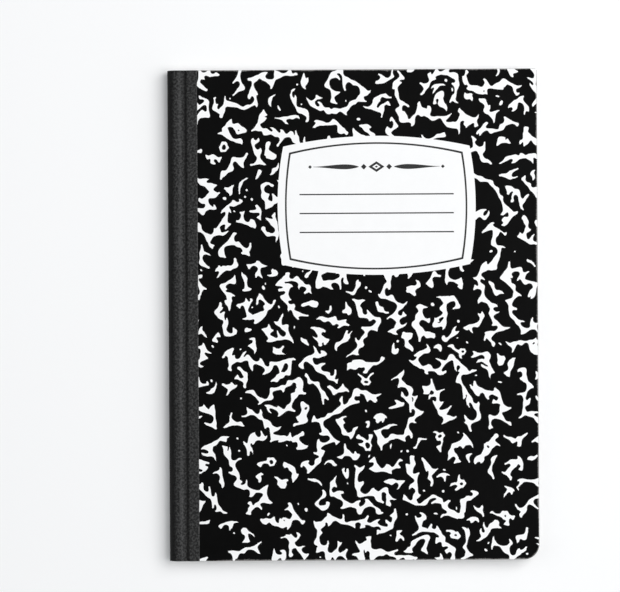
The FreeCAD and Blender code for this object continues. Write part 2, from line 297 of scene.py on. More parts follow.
def kept_value(tree, name):
    """Read the numbers that point_values kept on a piece's points."""
    return add(tree, "ShaderNodeAttribute", attribute_name=name).outputs["Fac"]


def bump(tree, height, distance, strength):
    inputs = {"Height": height, "Distance": distance, "Strength": strength}
    return add(tree, "ShaderNodeBump", inputs).outputs[0]


# %% [markdown]
# ## Effects that several materials share
# Paper, board and print all show the same things up close: fibres that lie every way, soft blotches, and
# bare spots where ink or coating is thin. Cloth and board both wear pale where hands rub them.
# Each effect is a node group that gives masks and heights, and every material sets its own sizes.

# %% Paper grain
FIBRE_WANDER = (0.0006, 0.0006, 0.0006)


def paper_grain():
    """Fibres and blotches of paper; sizes are in features per metre."""
    group, given, out = new_group(
        "paper_grain", {"Fibre scale": 2500.0, "Blotch scale": 120.0}, ["Fibres", "Blotches", "Height"]
    )
    place = own_place(group)
    wander = noise_colour(group, place, given["Fibre scale"])
    shift = add(group, "ShaderNodeVectorMath", {0: wander, 1: FIBRE_WANDER}, operation="MULTIPLY").outputs[0]
    bent = add(group, "ShaderNodeVectorMath", {0: place, 1: shift}, operation="ADD").outputs[0]
    along = noise(group, stretched(group, bent, (0.25, 1, 1)), given["Fibre scale"], 2)
    across = noise(group, stretched(group, bent, (1, 0.25, 1)), given["Fibre scale"], 2)
    fibres = ramp(group, math_node(group, "MAXIMUM", along, across), 0.5, 0.78)
    blotches = noise(group, place, given["Blotch scale"], 3)
    height = math_node(group, "MULTIPLY_ADD", fibres, 0.6, times(group, blotches, 0.4))
    feed(group, out, {"Fibres": fibres, "Blotches": blotches, "Height": height})
    return group


PAPER_GRAIN = paper_grain()
print("paper grain: fibres, blotches, height")

# %% Print speckle


def print_speckle():
    """Tiny spots where ink stayed off the paper, and the soft unevenness of the ink film."""
    group, given, out = new_group(
        "print_speckle", {"Spot scale": 3000.0, "Bareness": 0.3}, ["Bare", "Film"]
    )
    place = own_place(group)
    spots = noise(group, place, given["Spot scale"], 3, 0.6)
    patches = noise(group, place, 90.0, 2)
    lift = math_node(group, "MULTIPLY_ADD", patches, 0.12, spots)
    edge = math_node(group, "SUBTRACT", 0.92, times(group, given["Bareness"], 0.2))
    bare = ramp(group, math_node(group, "SUBTRACT", lift, edge), -0.04, 0.08)
    feed(group, out, {"Bare": bare, "Film": noise(group, place, 260.0, 4)})
    return group


PRINT_SPECKLE = print_speckle()
print("print speckle: bare spots and ink film")

# %% Edge wear


def edge_wear():
    """Rubbed places: strongest where Nearness is 1, broken up by a ragged noise."""
    group, given, out = new_group(
        "edge_wear", {"Nearness": 0.0, "Amount": 0.5, "Raggedness": 900.0}, ["Worn"]
    )
    rag = noise(group, own_place(group), given["Raggedness"], 4, 0.65)
    patchy = noise(group, own_place(group), 70.0, 2)
    rag = math_node(group, "MULTIPLY_ADD", patchy, 0.5, times(group, rag, 0.5))
    reach = times(group, given["Nearness"], given["Amount"])
    worn = ramp(group, math_node(group, "ADD", rag, reach), 0.72, 0.95)
    held = times(group, worn, ramp(group, given["Nearness"], 0.02, 0.3))
    feed(group, out, {"Worn": held})
    return group


EDGE_WEAR = edge_wear()
print("edge wear: a ragged mask")

# %% Cloth weave


def cloth_weave():
    """A plain weave over a piece's own map, which runs across the spine and along it, in metres."""
    group, given, out = new_group("cloth_weave", {"Threads": 2600.0}, ["Weave", "Streaks", "Specks"])
    flat = add(group, "ShaderNodeUVMap", uv_map="cloth").outputs["UV"]
    parts = add(group, "ShaderNodeSeparateXYZ", {0: flat}).outputs
    turns = times(group, given["Threads"], math.pi)
    across = math_node(group, "SINE", times(group, parts["X"], turns))
    along = math_node(group, "SINE", times(group, parts["Y"], turns))
    weave = math_node(group, "MULTIPLY_ADD", times(group, across, along), 0.5, 0.5)
    streaks = noise(group, stretched(group, flat, (1400, 36, 1)), 1.0, 3, 0.6)
    specks = noise(group, stretched(group, flat, (950, 850, 1)), 1.0, 3, 0.6)
    feed(group, out, {"Weave": weave, "Streaks": streaks, "Specks": specks})
    return group


CLOTH_WEAVE = cloth_weave()
print("cloth weave: threads, streaks, specks")

# %% [markdown]
# ## Materials
# The print is a thin satin film of black on coated paper: almost no light comes back from it, so its
# gloss has to be low too, or the black turns grey. The white of the veins and label is the bare paper.
# The tape is dyed book cloth, greyer than the print and streaked along its length; painted shade darkens it
# round the spine and in the groove, and a painted highlight, laid on as rubbed patches, lightens the ridge.

# %% Printed papers


def black_print():
    tree, shader, material = new_material("black_print")
    grain = use_group(tree, PAPER_GRAIN, fibre_scale=2200.0, blotch_scale=60.0)
    speckle = use_group(tree, PRINT_SPECKLE, spot_scale=2600.0, bareness=0.25)
    near = kept_value(tree, "rim")
    worn = use_group(tree, EDGE_WEAR, nearness=near, amount=0.42, raggedness=1500.0)["Worn"]
    ink = blend_colours(tree, speckle["Film"], grey(0.0012), grey(0.0027))
    ink = blend_colours(tree, times(tree, speckle["Bare"], 0.06), ink, grey(0.5))
    colour = blend_colours(tree, times(tree, worn, 0.55), ink, grey(0.42, 0.03))
    feed(tree, shader, {
        "Base Color": colour,
        "Roughness": ramp(tree, grain["Blotches"], 0.25, 0.75, 0.36, 0.5),
        "Normal": bump(tree, grain["Height"], 0.00002, 0.5),
        "Specular IOR Level": 0.035,
    })
    return material


def bare_white(name, warm):
    """White paper that the black print leaves open."""
    tree, shader, material = new_material(name)
    grain = use_group(tree, PAPER_GRAIN, fibre_scale=2200.0, blotch_scale=150.0)
    speckle = use_group(tree, PRINT_SPECKLE, spot_scale=1500.0, bareness=0.2)
    paper = blend_colours(tree, grain["Blotches"], grey(0.885, warm), grey(0.935, warm))
    paper = blend_colours(tree, times(tree, grain["Fibres"], 0.10), paper, grey(0.78, 0.02))
    colour = blend_colours(tree, times(tree, speckle["Bare"], 0.05), paper, grey(0.1))
    feed(tree, shader, {
        "Base Color": colour,
        "Roughness": ramp(tree, grain["Blotches"], 0.25, 0.75, 0.4, 0.55),
        "Normal": bump(tree, grain["Height"], 0.00002, 0.5),
        "Specular IOR Level": 0.25,
    })
    return material


def label_ink():
    tree, shader, material = new_material("label_ink")
    grain = use_group(tree, PAPER_GRAIN, fibre_scale=2200.0, blotch_scale=300.0)
    speckle = use_group(tree, PRINT_SPECKLE, spot_scale=5200.0, bareness=0.9)
    ink = blend_colours(tree, grain["Blotches"], grey(0.012), grey(0.03))
    colour = blend_colours(tree, times(tree, speckle["Bare"], 0.3), ink, grey(0.6))
    feed(tree, shader, {
        "Base Color": colour,
        "Roughness": ramp(tree, speckle["Film"], 0.3, 0.7, 0.42, 0.6),
        "Normal": bump(tree, grain["Height"], 0.00001, 0.5),
        "Specular IOR Level": 0.2,
    })
    return material


BLACK_PRINT = black_print()
VEIN_WHITE = bare_white("vein_white", 0.0)
LABEL_WHITE = bare_white("label_white", 0.0)
LABEL_INK = label_ink()
print("printed papers:", BLACK_PRINT.name, VEIN_WHITE.name, LABEL_WHITE.name, LABEL_INK.name)

# %% Cloth tape and thread
THREAD_TWIST = 0.0006


def spine_cloth():
    tree, shader, material = new_material("spine_cloth")
    weave = use_group(tree, CLOTH_WEAVE, threads=2600.0)
    # The wear mask is real wear at the cut edge and the spine edge, and a painted highlight along the ridge.
    near = kept_value(tree, "wear_and_highlight")
    worn = use_group(tree, EDGE_WEAR, nearness=near, amount=0.5, raggedness=1100.0)["Worn"]
    streak = ramp(tree, weave["Streaks"], 0.3, 0.7)
    cloth = blend_colours(tree, streak, grey(0.007), grey(0.015))
    speck = times(tree, ramp(tree, weave["Specks"], 0.41, 0.62), 0.9)
    cloth = blend_colours(tree, speck, cloth, grey(0.05))
    thread = times(tree, weave["Weave"], 0.4)
    cloth = blend_colours(tree, thread, cloth, grey(0.014))
    tone = kept_value(tree, "tone")
    # The tone multiplies in painted shade round the spine and in the groove, and a painted highlight on the
    # ridge.
    cloth = blend_colours(tree, 1.0, cloth, tone, "MULTIPLY")
    colour = blend_colours(tree, times(tree, worn, 0.3), cloth, grey(0.1))
    lumps = math_node(tree, "MULTIPLY_ADD", weave["Streaks"], 0.6, weave["Weave"])
    feed(tree, shader, {
        "Base Color": colour,
        "Roughness": ramp(tree, weave["Specks"], 0.3, 0.7, 0.5, 0.68),
        "Normal": bump(tree, lumps, 0.00006, 0.8),
        "Specular IOR Level": 0.07,
        "Sheen Weight": 0.01,
    })
    return material


def cut_cloth():
    """The cut edge of the tape, where white core threads show."""
    tree, shader, material = new_material("cut_cloth")
    place = own_place(tree)
    threads = noise(tree, stretched(tree, place, (900, 3200, 2500)), 1.0, 2)
    strands = ramp(tree, threads, 0.42, 0.66)
    feed(tree, shader, {
        "Base Color": blend_colours(tree, strands, grey(0.025), grey(0.2, 0.04)),
        "Roughness": ramp(tree, threads, 0.3, 0.7, 0.75, 0.95),
        "Normal": bump(tree, strands, 0.00005, 0.8),
    })
    return material


def sewing_cotton():
    tree, shader, material = new_material("sewing_cotton")
    place = own_place(tree)
    parts = add(tree, "ShaderNodeSeparateXYZ", {0: place}).outputs
    lean = math_node(tree, "ADD", parts["Y"], math_node(tree, "ADD", parts["X"], parts["Z"]))
    twist = math_node(tree, "SINE", times(tree, lean, 2 * math.pi / THREAD_TWIST))
    fuzz = noise(tree, place, 9000.0, 3)
    shade = ramp(tree, math_node(tree, "MULTIPLY_ADD", fuzz, 0.8, twist), -0.8, 1.4)
    feed(tree, shader, {
        "Base Color": blend_colours(tree, shade, grey(0.5, 0.04), grey(0.82, 0.02)),
        "Roughness": ramp(tree, fuzz, 0.3, 0.7, 0.7, 0.9),
        "Normal": bump(tree, shade, 0.00008, 0.9),
    })
    return material


SPINE_CLOTH = spine_cloth()
CUT_CLOTH = cut_cloth()
SEWING_COTTON = sewing_cotton()
print("cloth and thread:", SPINE_CLOTH.name, CUT_CLOTH.name, SEWING_COTTON.name)

# %% Papers and boards


def page_paper():
    """Writing paper; each sheet carries its own tone, so the trimmed edges show as fine lines."""
    tree, shader, material = new_material("page_paper")
    grain = use_group(tree, PAPER_GRAIN, fibre_scale=3000.0, blotch_scale=180.0)
    tone = kept_value(tree, "tone")
    sheet = blend_colours(tree, tone, grey(0.66, 0.015), grey(0.84, 0.012))
    colour = blend_colours(tree, times(tree, grain["Fibres"], 0.12), sheet, grey(0.6, 0.03))
    feed(tree, shader, {
        "Base Color": colour,
        "Roughness": ramp(tree, grain["Blotches"], 0.25, 0.75, 0.8, 0.92),
        "Normal": bump(tree, grain["Height"], 0.00002, 0.6),
        "Specular IOR Level": 0.25,
    })
    return material


def lining_paper():
    tree, shader, material = new_material("lining_paper")
    grain = use_group(tree, PAPER_GRAIN, fibre_scale=1500.0, blotch_scale=90.0)
    sheet = blend_colours(tree, grain["Blotches"], grey(0.68, 0.025), grey(0.78, 0.02))
    colour = blend_colours(tree, times(tree, grain["Fibres"], 0.22), sheet, grey(0.52, 0.04))
    feed(tree, shader, {
        "Base Color": colour,
        "Roughness": ramp(tree, grain["Blotches"], 0.25, 0.75, 0.72, 0.88),
        "Normal": bump(tree, grain["Height"], 0.00003, 0.7),
    })
    return material


def grey_board():
    """Pressed waste paper, in plies that show on the cut edge."""
    tree, shader, material = new_material("grey_board")
    grain = use_group(tree, PAPER_GRAIN, fibre_scale=1300.0, blotch_scale=200.0)
    plies = noise(tree, stretched(tree, own_place(tree), (300, 300, 9000)), 1.0, 2)
    core = blend_colours(tree, ramp(tree, plies, 0.3, 0.7), grey(0.22, 0.09), grey(0.36, 0.08))
    colour = blend_colours(tree, times(tree, grain["Fibres"], 0.4), core, grey(0.5, 0.06))
    rough = math_node(tree, "ADD", grain["Height"], plies)
    feed(tree, shader, {
        "Base Color": colour,
        "Roughness": ramp(tree, grain["Blotches"], 0.25, 0.75, 0.82, 0.95),
        "Normal": bump(tree, rough, 0.00008, 0.9),
    })
    return material


def rule_ink(name, dark, light):
    """The pale printed lines of a page."""
    tree, shader, material = new_material(name)
    speckle = use_group(tree, PRINT_SPECKLE, spot_scale=5200.0, bareness=1.2)
    ink = blend_colours(tree, speckle["Film"], dark, light)
    colour = blend_colours(tree, times(tree, speckle["Bare"], 0.6), ink, grey(0.8))
    feed(tree, shader, {
        "Base Color": colour,
        "Roughness": ramp(tree, speckle["Film"], 0.3, 0.7, 0.75, 0.9),
    })
    return material


PAGE_PAPER = page_paper()
LINING_PAPER = lining_paper()
GREY_BOARD = grey_board()
BLUE_RULE = rule_ink("blue_rule", (0.22, 0.42, 0.68, 1), (0.34, 0.54, 0.78, 1))
RED_RULE = rule_ink("red_rule", (0.68, 0.2, 0.24, 1), (0.8, 0.32, 0.34, 1))
print("papers:", PAGE_PAPER.name, LINING_PAPER.name, GREY_BOARD.name, BLUE_RULE.name, RED_RULE.name)

# %% [markdown]
# ## The floor
# The notebook lies on a plain pale sheet, large enough to fill every view. It isn't part of the book.

# %% Floor
FLOOR_HALF, FLOOR_TOP = 2500, -0.02


def pale_floor():
    tree, shader, material = new_material("pale_floor")
    tint = noise(tree, own_place(tree), 3.0, 2)
    feed(tree, shader, {
        "Base Color": blend_colours(tree, tint, grey(0.93), grey(0.95)),
        "Roughness": 0.9,
        "Specular IOR Level": 0.1,
    })
    ways = ((-1, -1), (1, -1), (1, 1), (-1, 1))
    corners = [(x * FLOOR_HALF, y * FLOOR_HALF, FLOOR_TOP) for x, y in ways]
    return make_piece("pale_floor", corners, [(0, 1, 2, 3)], [material])


floor = pale_floor()
print("floor", [round(v, 2) for v in floor.dimensions])

# %% [markdown]
# ## The cover boards
# Each cover is a grey board with printed paper glued on and trimmed with it, so the raw board shows on the
# cut edge. A plain box would have knife edges; the real edge is pressed a little round.
# The board is built as rings inside each other. The rings also carry a number that is 1 at the rim and
# fades inwards, and the print wears off by it.

# %% Outline of a cover
SPINE_CORNER = 0.4
CORNER_STEPS = 14


def cover_outline(inset, left):
    """The cover's outline from the spine side round, counterclockwise, moved inwards by an inset."""
    right, foot, head = BOOK_RIGHT - inset, BOOK_FOOT + inset, BOOK_HEAD - inset
    left = left + inset
    points = []
    corners = [
        (left, foot, SPINE_CORNER, 180), (right, foot, FOOT_CORNER, 270),
        (right, head, HEAD_CORNER, 0), (left, head, SPINE_CORNER, 90),
    ]
    for x, y, radius, start in corners:
        radius = max(radius - inset, 0.15)
        turn = math.radians(start + 45)
        cx = x - math.copysign(radius, math.cos(turn))
        cy = y - math.copysign(radius, math.sin(turn))
        for step in range(CORNER_STEPS + 1):
            angle = math.radians(start + 90 * step / CORNER_STEPS)
            points.append((cx + radius * math.cos(angle), cy + radius * math.sin(angle)))
    return points


print("a cover's outline has", len(cover_outline(0.0, BOARD_LOW[0])), "points")

# %% Both boards


def cover_board(name, inner, outer):
    """A board between its inner face and its printed outer face, given as heights."""
    way = math.copysign(1, outer - inner)
    # Each ring is an inset, a height, and how near to the rim it counts.
    rings = [
        (0.12, inner, 1), (0.0, inner + 0.12 * way, 1), (0.0, outer - 0.2 * way, 1),
        (0.05, outer - 0.07 * way, 1), (0.2, outer, 1), (0.8, outer, 0.4), (2.4, outer, 0),
    ]
    points, rim = [], []
    for inset, height, nearness in rings:
        outline = cover_outline(inset, BOARD_LOW[0])
        points += [(x, y, height) for x, y in outline]
        rim += [nearness] * len(outline)
    count = len(points) // len(rings)
    faces, slots = [tuple(reversed(range(count)))], [1]
    for ring in range(len(rings) - 1):
        for k in range(count):
            low, high = ring * count, (ring + 1) * count
            faces.append((low + k, low + (k + 1) % count, high + (k + 1) % count, high + k))
            slots.append(1 if ring < 2 else 0)
    faces.append(tuple(range(len(points) - count, len(points))))
    slots.append(0)
    if way < 0:
        faces = [tuple(reversed(face)) for face in faces]
    board = make_piece(name, points, faces, [BLACK_PRINT, GREY_BOARD], slots)
    point_values(board, "rim", rim)
    smooth(board)
    return board


FRONT_OUTER = BOARD_HIGH[2]
BACK_LOW, BACK_HIGH = cad_box("back_cover_board")
front_board = cover_board("front_board", BOARD_LOW[2], FRONT_OUTER)
back_board = cover_board("back_board", BACK_HIGH[2], BACK_LOW[2])
for board, body, node in (
    (front_board, "front_cover", "front_cover_board"),
    (back_board, "back_cover", "back_cover_board"),
):
    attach(board, body)
    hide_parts(node)
    tell(board)

# %% [markdown]
# ## The marbled print
# Traditional marbled covers show white veins between black blots, and no two books are alike.
# Photographs or traced shapes would copy one sheet, so this one is grown by rules. Figures start at random
# places and grow curved arm by curved arm, wide at the joints and thin between them, and an arm stays only
# where it keeps clear of all others. The largest figures grow first; rings, specks and dust fill in, and
# some round blots stay black. The real veins are what is left between drops, so they have such waists too.
# A smooth field then melts each figure's arms together, and its zero line is the edge of the white.

# %% A cover that knows what is taken
CELL = 4.0
LINK, SPUR, HOOK, FORK = (3.4, 6.2), (2.2, 5.0), (0.9, 2.2), (0.8, 1.8)
JOINT, WAIST, THIN, TIP = (1.7, 3.0), (0.7, 1.1), (0.6, 1.0), 0.5
NO_JOINT = (0, 0, -99)
NO_FIGURE = -1


class Marbling:
    """White arms on one cover, each kept as ends and widths, and the round spots that they take up."""

    def __init__(self, seed):
        self.chance = random.Random(seed)
        self.taken = {}
        self.arms = []
        self.figure_number = 0

    def clear(self, x, y, radius, gap, joint=NO_JOINT):
        """True where a spot has room; its own figure doesn't count next to the joint that it grows from."""
        column, row = int(x // CELL), int(y // CELL)
        reach = 1 if radius + gap < 3 else 2
        for i in range(column - reach, column + reach + 1):
            for j in range(row - reach, row + reach + 1):
                for x2, y2, radius2, owner in self.taken.get((i, j), ()):
                    if (x - x2) ** 2 + (y - y2) ** 2 < (radius + radius2 + gap) ** 2:
                        own = owner == self.figure_number
                        if not own or math.hypot(x2 - joint[0], y2 - joint[1]) >= joint[2] + gap + radius:
                            return False
        return True

    def keep(self, x, y, radius, owner=None):
        owner = self.figure_number if owner is None else owner
        self.taken.setdefault((int(x // CELL), int(y // CELL)), []).append((x, y, radius, owner))

    def arm(self, place, heading, length, bend, widths, gap):
        """Grow one curved arm if it has room, and return its end and heading there."""
        steps = len(widths) - 1
        points = [place]
        for k in range(steps):
            angle = heading + bend * (k + 0.5) / steps
            x, y = points[-1]
            points.append((x + length / steps * math.cos(angle), y + length / steps * math.sin(angle)))
        halves = np.linspace(0, steps, 2 * steps + 1)
        xs, ys = [np.interp(halves, range(steps + 1), values).tolist() for values in zip(*points)]
        radii = (np.interp(halves, range(steps + 1), widths) / 2).tolist()
        joint = (*place, widths[0] / 2 + gap * 0.6)
        spots = list(zip(xs, ys, radii))
        if not all(self.clear(*spot, gap, joint) for spot in spots[1:]):
            return None
        for spot in spots:
            self.keep(*spot)
        for k in range(steps):
            self.arms.append((np.array(points[k]), np.array(points[k + 1]), widths[k], widths[k + 1]))
        return points[-1], heading + bend

    def either(self, low, high):
        return self.chance.choice([-1, 1]) * self.chance.uniform(low, high)

    def spur(self, place, heading, width, gap):
        """A side arm, wide at its root and thin soon after; some end in a small hook or fork."""
        chance = self.chance
        for _ in range(3):
            thin = chance.uniform(*THIN)
            tip = chance.choice([TIP, thin * 0.8, thin, thin * 1.5, thin * 1.5])
            root = width * chance.uniform(0.75, 1.0)
            widths = (root, root * 0.35 + thin * 0.65, thin, tip)
            aim, length = heading + chance.uniform(-0.25, 0.25), chance.uniform(*SPUR)
            end = self.arm(place, aim, length, self.either(0.2, 1.5), widths, gap)
            if not end:
                continue
            if tip >= thin and chance.random() < 0.4:
                turn = self.either(0.7, 1.3)
                taper = (tip, thin * 0.9, TIP)
                self.arm(end[0], end[1] + turn, chance.uniform(*HOOK), 0.3, taper, gap)
                if chance.random() < 0.4:
                    self.arm(end[0], end[1] - turn, chance.uniform(*FORK), 0.3, taper, gap)
            return


print("links are", LINK, "mm long and spurs", SPUR, "mm")

# %% Kinds of figures


def grow_branch(cover, place, links, gap):
    """A wandering chain: wide joints, thin waists between them and spurs; with no links, a small star."""
    chance = cover.chance
    heading, width = chance.uniform(0, 2 * math.pi), chance.uniform(*JOINT)
    if links == 0:
        count = chance.choice([1, 2, 3, 3])
        for k in range(count):
            cover.spur(place, heading + k * 2 * math.pi / count, width * 0.85, gap)
        return
    turn = chance.choice([-1, 1])
    cover.spur(place, heading + math.pi + turn * 0.9, width, gap)
    if chance.random() < 0.7:
        cover.spur(place, heading + math.pi - turn * 0.9, width, gap)
    for _ in range(links):
        following, waist = chance.uniform(*JOINT), chance.uniform(*WAIST)
        widths = (width, width * 0.3 + waist * 0.7, waist, following * 0.3 + waist * 0.7, following)
        for _ in range(4):
            aim, length = heading + chance.uniform(-0.5, 0.5), chance.uniform(*LINK)
            end = cover.arm(place, aim, length, cover.either(0.2, 1.1), widths, gap)
            if end:
                break
        if not end:
            break
        (place, heading), width = end, following
        if chance.random() < 0.8:
            cover.spur(place, heading - turn * chance.uniform(0.8, 1.4), width, gap)
        if chance.random() < 0.25:
            cover.spur(place, heading + turn * chance.uniform(1.6, 2.2), width, gap)
        heading += turn * chance.uniform(0.4, 1.0)
        turn = -turn if chance.random() < 0.65 else turn
    cover.spur(place, heading + 0.5, width, gap)
    if chance.random() < 0.6:
        cover.spur(place, heading - 0.8, width, gap)


def grow_eye(cover, place, gap):
    """A small ring with a black middle, and a few spurs."""
    chance = cover.chance
    radius, width = chance.uniform(1.2, 1.9), chance.uniform(0.8, 1.4)
    angles = [k * math.pi / 3 for k in range(6)]
    spots = [(place[0] + radius * math.cos(a), place[1] + radius * math.sin(a)) for a in angles]
    if not all(cover.clear(x, y, width / 2, gap) for x, y in spots):
        return
    for k in range(6):
        widths = width * chance.uniform(0.8, 1.2), width * chance.uniform(0.8, 1.2)
        cover.arms.append((np.array(spots[k]), np.array(spots[(k + 1) % 6]), *widths))
    for x, y in spots:
        cover.keep(x, y, width / 2)
    for angle, spot in zip(angles, spots):
        if chance.random() < 0.35:
            cover.spur(spot, angle, width * 1.2, gap)


def grow_speck(cover, place, widths, longest, gap):
    chance = cover.chance
    width = chance.uniform(*widths)
    taper = (width, width * chance.uniform(0.7, 1), width * chance.uniform(0.4, 1))
    aim, length = chance.uniform(0, 6.28), chance.uniform(0.2, longest)
    cover.arm(place, aim, length, chance.uniform(-0.8, 0.8), taper, gap)


def leave_blot(cover, place, radius):
    """Keep a round blot black: nothing grows into it."""
    if not cover.clear(*place, radius, 2.0):
        return
    for k in range(12):
        angle = k * math.pi / 6
        for ring in ((radius - 0.8) * 0.55, radius - 0.8):
            x, y = place[0] + ring * math.cos(angle), place[1] + ring * math.sin(angle)
            cover.keep(x, y, 0.3, NO_FIGURE)


# %% Grow a cover, the largest figures first
# Each row is a kind (a number is a branch with that many links), tries, the gap it keeps, and the free
# space that it needs to start. A speck has a range of widths and a greatest length, and so has dust.
BLOTS, BLOT_RADIUS = 12, (2.8, 3.8)
GROWING = [
    (14, 60, 1.8, 5.2), (8, 90, 1.8, 5.0), ("eye", 40, 1.6, 4.8), (5, 160, 1.8, 4.6), (3, 260, 1.8, 4.4),
    (2, 380, 1.7, 4.2), (1, 460, 1.6, 3.8), (0, 480, 1.5, 3.3),
    ("speck", 320, 1.35, 2.6), ("dust", 280, 1.0, 1.7),
]
SPECK, DUST = ((0.7, 1.6), 2.4), ((0.4, 0.85), 0.8)
PAST_EDGE = 3


def grow_marbling(seed):
    cover = Marbling(seed)
    chance = cover.chance

    def anywhere():
        x = chance.uniform(BOARD_LOW[0] - PAST_EDGE, BOOK_RIGHT + PAST_EDGE)
        return x, chance.uniform(BOOK_FOOT - PAST_EDGE, BOOK_HEAD + PAST_EDGE)

    for _ in range(BLOTS):
        leave_blot(cover, anywhere(), chance.uniform(*BLOT_RADIUS))
    for kind, tries, gap, room in GROWING:
        for _ in range(tries):
            place = anywhere()
            if not cover.clear(*place, 0.0, room):
                continue
            cover.figure_number += 1
            if kind == "eye":
                grow_eye(cover, place, gap)
            elif kind == "speck":
                grow_speck(cover, place, *SPECK, gap)
            elif kind == "dust":
                grow_speck(cover, place, *DUST, gap)
            else:
                grow_branch(cover, place, kind, gap * chance.uniform(0.95, 1.35))
    return cover.arms


print(sum(row[1] for row in GROWING), "places are tried on each cover")

# %% The field that melts them together
GRID = 0.36
REACH = 6.0
MELT = 2.4
WARPS = ((6.0, 0.6), (2.4, 0.15))
ROUGHNESS = (1.6, 0.05)
WIDER = -0.19


def soft_noise(shape, size, dice):
    """Smooth random hills of one size: a coarse grid of chance values, joined by cubic curves."""
    coarse = dice.standard_normal([int(count * GRID / size) + 5 for count in shape])

    def cubic(count):
        place = np.arange(count) * GRID / size
        whole = place.astype(int)
        t = place - whole
        weights = np.stack([
            (-t + 2 * t**2 - t**3) / 2,
            (2 - 5 * t**2 + 3 * t**3) / 2,
            (t + 4 * t**2 - 3 * t**3) / 2,
            (t**3 - t**2) / 2,
        ])
        return whole, weights

    rows, row_weights = cubic(shape[0])
    columns, column_weights = cubic(shape[1])
    across = sum(coarse[:, columns + k] * column_weights[k] for k in range(4))
    return sum(across[rows + k] * row_weights[k][:, None] for k in range(4))


def vein_field(seed, allowed):
    """Negative inside the white; allowed gives how far outside the printable area each spot is."""
    xs = np.arange(BOARD_LOW[0] - 1, BOOK_RIGHT + 1, GRID)
    ys = np.arange(BOOK_FOOT - 1, BOOK_HEAD + 1, GRID)
    x, y = np.meshgrid(xs, ys)
    outside = allowed(x, y)
    dice = np.random.default_rng(seed)
    for size, amount in WARPS:
        x = x + amount * soft_noise(x.shape, size, dice)
        y = y + amount * soft_noise(y.shape, size, dice)
    total = np.zeros_like(x)
    for start, end, first, last in grow_marbling(seed):
        low, high = np.minimum(start, end) - REACH, np.maximum(start, end) + REACH
        i0, i1 = np.searchsorted(xs, (low[0], high[0]))
        j0, j1 = np.searchsorted(ys, (low[1], high[1]))
        if i1 <= i0 or j1 <= j0:
            continue
        px, py = x[j0:j1, i0:i1] - start[0], y[j0:j1, i0:i1] - start[1]
        along = end - start
        t = np.clip((px * along[0] + py * along[1]) / max(along @ along, 1e-6), 0, 1)
        away = np.hypot(px - t * along[0], py - t * along[1])
        total[j0:j1, i0:i1] += np.exp(-MELT * (away - (first + (last - first) * t) / 2))
    field = -np.log(np.maximum(total, 1e-12)) / MELT - WIDER
    field += ROUGHNESS[1] * soft_noise(x.shape, ROUGHNESS[0], dice)
    return xs, ys, np.maximum(field, outside)


# %% Trace the zero line
# A cell's code says which of its corners lie below zero. Its outline runs from one side to another, with
# the white on its left. Two codes are saddles, where the middle decides.
SIDES = {
    1: "SW", 2: "ES", 3: "EW", 4: "NE", 6: "NS", 7: "NW",
    8: "WN", 9: "SN", 11: "EN", 12: "WE", 13: "SE", 14: "WS",
}
SADDLES = {
    (5, True): ("SE", "NW"), (5, False): ("SW", "NE"),
    (10, True): ("WS", "EN"), (10, False): ("ES", "WN"),
}


def zero_lines(xs, ys, field):
    """Closed outlines of the places below zero, by marching squares."""
    below = field < 0
    corner_code = below[:-1, :-1] * 1 + below[:-1, 1:] * 2 + below[1:, 1:] * 4 + below[1:, :-1] * 8
    follow = {}

    def crossing(j, i, side):
        """The side's own name, shared with the neighbouring cell, which is the crossing's key."""
        return {"S": (j, i, 0), "N": (j + 1, i, 0), "W": (j, i, 1), "E": (j, i + 1, 1)}[side]

    for j, i in np.argwhere((corner_code > 0) & (corner_code < 15)):
        code = int(corner_code[j, i])
        if code in SIDES:
            pairs = (SIDES[code],)
        else:
            joined = field[j:j + 2, i:i + 2].mean() < 0
            pairs = SADDLES[code, bool(joined)]
        for start, end in pairs:
            follow[crossing(j, i, start)] = crossing(j, i, end)

    def spot(key):
        j, i, upright = key
        a = field[j, i]
        b = field[j + 1, i] if upright else field[j, i + 1]
        t = a / (a - b)
        return (xs[i], ys[j] + t * GRID) if upright else (xs[i] + t * GRID, ys[j])

    loops = []
    while follow:
        first, key = follow.popitem()
        loop = [first]
        while key != first:
            loop.append(key)
            key = follow.pop(key)
        loops.append(np.array([spot(k) for k in loop]))
    return loops


def tidy_loops(loops, smallest=0.35):
    """Even out the points of each outline and leave out the smallest crumbs."""
    kept = []
    for loop in loops:
        x, y = loop.T
        area = 0.5 * abs(np.sum(x * np.roll(y, -1) - y * np.roll(x, -1)))
        if len(loop) < 6 or area < smallest:
            continue
        apart = np.hypot(*(np.roll(loop, -1, 0) - loop).T) > 0.3 * GRID
        kept.append(loop[apart] if apart.sum() > 5 else loop)
    return kept


# %% [markdown]
# ## Printed shapes
# Veins, label and lines are all flat shapes with crisp edges. An image would blur close up, so each is a
# real film of ink or paper, a few hundredths of a millimetre thick.
# One Geometry Nodes tree makes them all: it turns outlines into curves, fills them, and gives the filled
# shape a thickness.

# %% The film tree


def geometry_tree(name, values):
    """A Geometry Nodes tree that takes geometry, values and a material: itself, and what it is given."""
    tree = bpy.data.node_groups.new(name, "GeometryNodeTree")
    tree.is_modifier = True
    tree.interface.new_socket("Geometry", in_out="INPUT", socket_type="NodeSocketGeometry")
    tree.interface.new_socket("Geometry", in_out="OUTPUT", socket_type="NodeSocketGeometry")
    kinds = {int: "NodeSocketInt", float: "NodeSocketFloat", tuple: "NodeSocketVector"}
    for socket, value in values.items():
        made = tree.interface.new_socket(socket, in_out="INPUT", socket_type=kinds[type(value)])
        made.default_value = value
    tree.interface.new_socket("Material", in_out="INPUT", socket_type="NodeSocketMaterial")
    return tree, tree.nodes.new("NodeGroupInput").outputs


